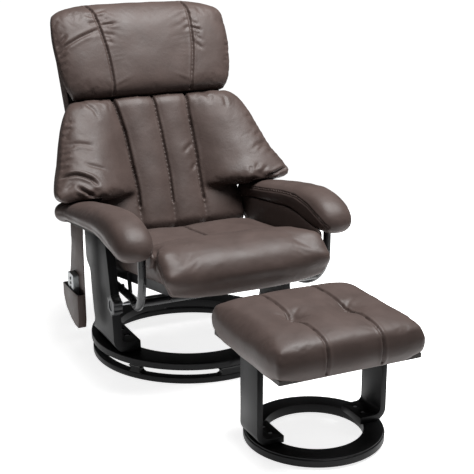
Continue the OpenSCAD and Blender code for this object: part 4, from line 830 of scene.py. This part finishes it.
# Armrests: full pads on a board, with a welt along the inner edge and a soft line along the outer one.
# On the sitter's right a fold runs over the rear end, beside the wing.
armSet = {
    "voxel": 0.005, "rounds": 3, "pressure": 3.0, "frames": 8, "cap": 0.006, "fill": 0.8,
    "noseRounds": 60, "noseAhead": (0.20, 0.30), "noseFill": 0.003,
    "rearFrom": (0.09, 0.15), "rearFill": 0.011, "underHold": (0.3, 0.7),
    "loose": {"scale": 0.05, "deep": 0.001}, "seed": 5.7, "welt": 0.0019,
    "innerPress": {"wide": 0.003, "deep": 0.0025, "lip": 0.3, "seam": True},
    "outerPress": {"wide": 0.006, "deep": 0.0012, "lip": 0.2, "seam": True},
    "tuckPress": {"wide": 0.006, "deep": 0.004},
    "outer": [
        [(350, 140, 428), (356, 90, 436), (357, 0, 446), (357, -110, 458), (356, -200, 464),
         (354, -270, 456), (350, -330, 436), (340, -362, 418)],
    ],
    "inner": [
        [(256, 140, 440), (248, 90, 452), (246, 0, 466), (246, -110, 486), (247, -200, 494),
         (248, -280, 484), (252, -340, 462), (262, -372, 438)],
    ],
    "tuck": [[(-350, 126, 450), (-330, 110, 462), (-300, 98, 466)]],
}


def makeArmrest(side, nodeName, way):
    s = armSet
    work = reskin(mergedShape(nodeName), side + "Armrest", s)
    mesh = work.data
    co = pointsOf(mesh)
    softenPoints(mesh, s["noseRounds"])
    soft = pointsOf(mesh)
    nose = easeStep(-co[:, 1], *s["noseAhead"])
    rear = easeStep(co[:, 1], *s["rearFrom"])
    co = co + (soft - co) * nose[:, None]
    setPoints(mesh, co)
    setPoints(mesh, co + normalsOf(mesh) * (s["noseFill"] * nose + s["rearFill"] * rear)[:, None])
    inflate(work, easeStep(-normalsOf(mesh)[:, 2], *s["underHold"]), s)
    mesh = refine(work)
    loosen(mesh, seed=s["seed"] + way, **s["loose"])
    inner = s["inner"] if way > 0 else mirrored(s["inner"])
    outer = s["outer"] if way > 0 else mirrored(s["outer"])
    pressLines(mesh, inner, **s["innerPress"])
    pressLines(mesh, outer, **s["outerPress"])
    if way < 0:
        pressLines(mesh, s["tuck"], **s["tuckPress"])
    made = finishSoft(work, side + "Armrest", nodeName, "turntable")
    weltAlong(side + "ArmrestWelt", made.data, inner, s["welt"], "turntable")


makeArmrest("left", "armrest_left", 1)
makeArmrest("right", "armrest_right", -1)

# Padded side panels that close the space between armrest and seat, up to the armrest's underside.
# Their outline is seen from the side, in millimetres.
panelSet = {
    "voxel": 0.004, "rounds": 2, "pressure": 2.0, "frames": 6, "cap": 0.002, "fill": 0.5,
    "inner": 0.2462, "thick": 0.0126, "edgeHold": (0.5, 0.9),
    "top": [
        (166, 408), (140, 412), (100, 417), (60, 422), (20, 427), (-20, 432), (-60, 437), (-100, 442),
        (-140, 446), (-180, 447), (-220, 444), (-260, 437), (-300, 431), (-340, 427), (-352, 418),
    ],
    "low": [
        (-350, 398), (-335, 384), (-310, 378), (-260, 374), (-180, 365), (-100, 357), (-20, 348), (60, 339),
        (112, 334), (140, 353), (160, 384),
    ],
}


def makeArmPanel(side, nodeName, way):
    s = panelSet
    shape = bmesh.new()
    corners = [shape.verts.new((way * s["inner"], y / 1000, z / 1000)) for y, z in s["top"] + s["low"]]
    face = shape.faces.new(corners)
    grown = bmesh.ops.extrude_face_region(shape, geom=[face])
    moved = [v for v in grown["geom"] if isinstance(v, bmesh.types.BMVert)]
    bmesh.ops.translate(shape, verts=moved, vec=(way * s["thick"], 0, 0))
    bmesh.ops.recalc_face_normals(shape, faces=shape.faces)
    work = reskin(shape, side + "ArmPanel", s)
    inflate(work, easeStep(np.abs(normalsOf(work.data)[:, 2]), *s["edgeHold"]), s)
    finishSoft(work, side + "ArmPanel", nodeName, "turntable")


makeArmPanel("left", "arm_panel_left", 1)
makeArmPanel("right", "arm_panel_right", -1)

# Footstool cushion: two seams over its top and front, and a tuft on each. "seamLine" is seen from the side,
# and "pulls" gives the angles and lengths of the folds around a tuft.
stoolSet = {
    "voxel": 0.0055, "rounds": 3, "pressure": 3.5, "frames": 11, "cap": 0.008, "fill": 0.8,
    "middle": (0.039, -0.704), "seam": 0.0765, "tuftY": -0.012,
    "topFrom": (0.1, 0.4), "frontFrom": (0.4, 0.7), "seamHold": 0.008, "tuftHold": 0.014,
    "lowHold": (-0.268, -0.262),
    "dip": 0.007, "dipWide": 0.075, "pit": 0.008, "pitWide": 0.022, "dipAlong": 0.8,
    "loose": {"scale": 0.055, "deep": 0.0012, "seed": 17.3},
    "seamPress": {"wide": 0.0032, "deep": 0.005, "lip": 0.25, "seam": True},
    "seamLine": [(-520, 330), (-560, 352), (-640, 356), (-716, 345), (-800, 354), (-860, 344), (-893, 325),
                 (-900, 290), (-896, 262)],
    "pullPress": {"wide": 0.006, "deep": 0.0013},
    "pulls": [(38, 46), (75, 34), (152, 42), (205, 38), (255, 32), (322, 46)],
    "pullFrom": 5, "pullLow": 342, "pullHigh": 352,
}


# The points, how far they are from the nearer tuft both ways, and how much they face up
def aroundTufts(mesh):
    s = stoolSet
    co = pointsOf(mesh)
    across = np.abs(co[:, 0] - s["middle"][0]) - s["seam"]
    along = co[:, 1] - s["middle"][1] - s["tuftY"]
    return co, across, along, easeStep(normalsOf(mesh)[:, 2], *s["topFrom"])


def makeStoolCushion():
    s = stoolSet
    work = reskin(mergedShape("stool_cushion"), "stoolCushion", s)
    co, across, along, up = aroundTufts(work.data)
    facing = np.maximum(up, easeStep(-normalsOf(work.data)[:, 1], *s["frontFrom"]))
    line = bell(across, s["seamHold"]) * facing
    knot = bell(np.hypot(across, along), s["tuftHold"]) * up
    low = easeStep(-co[:, 2], *s["lowHold"])
    inflate(work, np.maximum.reduce([line, knot, low]), s)
    mesh = refine(work)
    co, across, along, up = aroundTufts(mesh)
    far = np.hypot(across, along * s["dipAlong"])
    co[:, 2] -= (s["dip"] * bell(far, s["dipWide"]) + s["pit"] * bell(far, s["pitWide"])) * up
    setPoints(mesh, co)
    loosen(mesh, **s["loose"])
    sides = [1000 * (s["middle"][0] - s["seam"]), 1000 * (s["middle"][0] + s["seam"])]
    tuftY = 1000 * (s["middle"][1] + s["tuftY"])
    rows = [[(at, y, z) for y, z in s["seamLine"]] for at in sides]
    pressLines(mesh, rows, **s["seamPress"])
    pulls = []
    for at in sides:
        for angle, long in s["pulls"]:
            x, y = math.cos(math.radians(angle)), math.sin(math.radians(angle))
            pulls.append([(at + s["pullFrom"] * x, tuftY + s["pullFrom"] * y, s["pullLow"]),
                          (at + long * x, tuftY + long * y, s["pullHigh"])])
    pressLines(mesh, pulls, **s["pullPress"])
    made = finishSoft(work, "stoolCushion", "stool_cushion", "footstool")
    sewRows("stoolStitches", made.data, rows, "footstool")
    tree = treeOf(made.data)
    for number, at in enumerate(sides, 1):
        makeTuftButton("tuftButton%d" % number, tree, at / 1000, tuftY / 1000)


# A covered button sunk in the tuft
buttonSet = {"radius": 0.0075, "flat": 0.42, "lift": 0.0004, "from": 0.5, "around": 20, "rings": 10}


def makeTuftButton(name, tree, x, y):
    s = buttonSet
    spot, way, face, far = tree.ray_cast(Vector((x, y, s["from"])), Vector((0, 0, -1)))
    place = Matrix.Translation(spot + way * s["lift"]) @ Matrix.Diagonal((1, 1, s["flat"], 1))
    shape = bmesh.new()
    bmesh.ops.create_uvsphere(shape, u_segments=s["around"], v_segments=s["rings"], radius=s["radius"],
                              matrix=place)
    mesh = meshOf(shape, name)
    setSmooth(mesh)
    meshObject(name, mesh, leather, "footstool")


makeStoolCushion()
print("cushions made")

# Hard pieces with softened edges: a copy of a CAD node with its sharp edges rounded; angles in degrees
edgeSet = {"flat": 1, "sharp": 32, "shaded": 40}


def roundedCopy(nodeName, name, body, material, radius, segments):
    shape = mergedShape(nodeName)
    bmesh.ops.dissolve_limit(shape, angle_limit=math.radians(edgeSet["flat"]), verts=shape.verts,
                             edges=shape.edges)
    sharp = math.radians(edgeSet["sharp"])
    edges = [e for e in shape.edges if len(e.link_faces) == 2 and e.calc_face_angle() > sharp]
    bmesh.ops.bevel(shape, geom=edges, offset=radius, offset_type="OFFSET", segments=segments, profile=0.5,
                    affect="EDGES", clamp_overlap=True, material=-1)
    bmesh.ops.triangulate(shape, faces=[f for f in shape.faces if len(f.verts) > 4])
    mesh = meshOf(shape, name)
    mesh.set_sharp_from_angle(angle=math.radians(edgeSet["shaded"]))
    setSmooth(mesh)
    made = meshObject(name, mesh, material, body)
    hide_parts(nodeName)
    return made


woodSet = [
    {"node": "leg_left", "name": "leftLeg", "body": "turntable", "radius": 0.003, "segments": 3},
    {"node": "leg_right", "name": "rightLeg", "body": "turntable", "radius": 0.003, "segments": 3},
    {"node": "stool_leg_left", "name": "stoolLeftLeg", "body": "footstool", "radius": 0.002,
     "segments": 2},
    {"node": "stool_leg_right", "name": "stoolRightLeg", "body": "footstool", "radius": 0.002,
     "segments": 2},
    {"node": "turning_ring", "name": "turningRing", "body": "turntable", "radius": 0.003, "segments": 3},
    {"node": "floor_ring", "name": "floorRing", "body": "base", "radius": 0.003, "segments": 3},
    {"node": "stool_ring", "name": "stoolRing", "body": "footstool", "radius": 0.003, "segments": 3},
]
for s in woodSet:
    roundedCopy(s["node"], s["name"], s["body"], lacquer, s["radius"], s["segments"])

# Rear shell with a corded welt around its back face, given in the back's own frame
shellSet = {
    "radius": 0.006, "segments": 3, "depth": 0.011, "welt": 0.0024,
    "loop": [
        (0, 0.0465), (0.228, 0.0465), (0.244, 0.051), (0.2495, 0.068), (0.2495, 0.67), (0.244, 0.686),
        (0.228, 0.6905), (-0.228, 0.6905), (-0.244, 0.686), (-0.2495, 0.67), (-0.2495, 0.068),
        (-0.244, 0.051), (-0.228, 0.0465), (0, 0.0465),
    ],
}
shell = roundedCopy("rear_shell", "rearShell", "back", leather, shellSet["radius"],
                    shellSet["segments"])
shellRow = 1000 * overBack(shellSet["loop"], shellSet["depth"])
weltAlong("rearShellWelt", shell.data, [shellRow], shellSet["welt"], "back")

pocketSet = {"radius": 0.001, "segments": 2}
roundedCopy("side_pocket", "sidePocket", "turntable", leather, pocketSet["radius"],
            pocketSet["segments"])
print("hard pieces made")
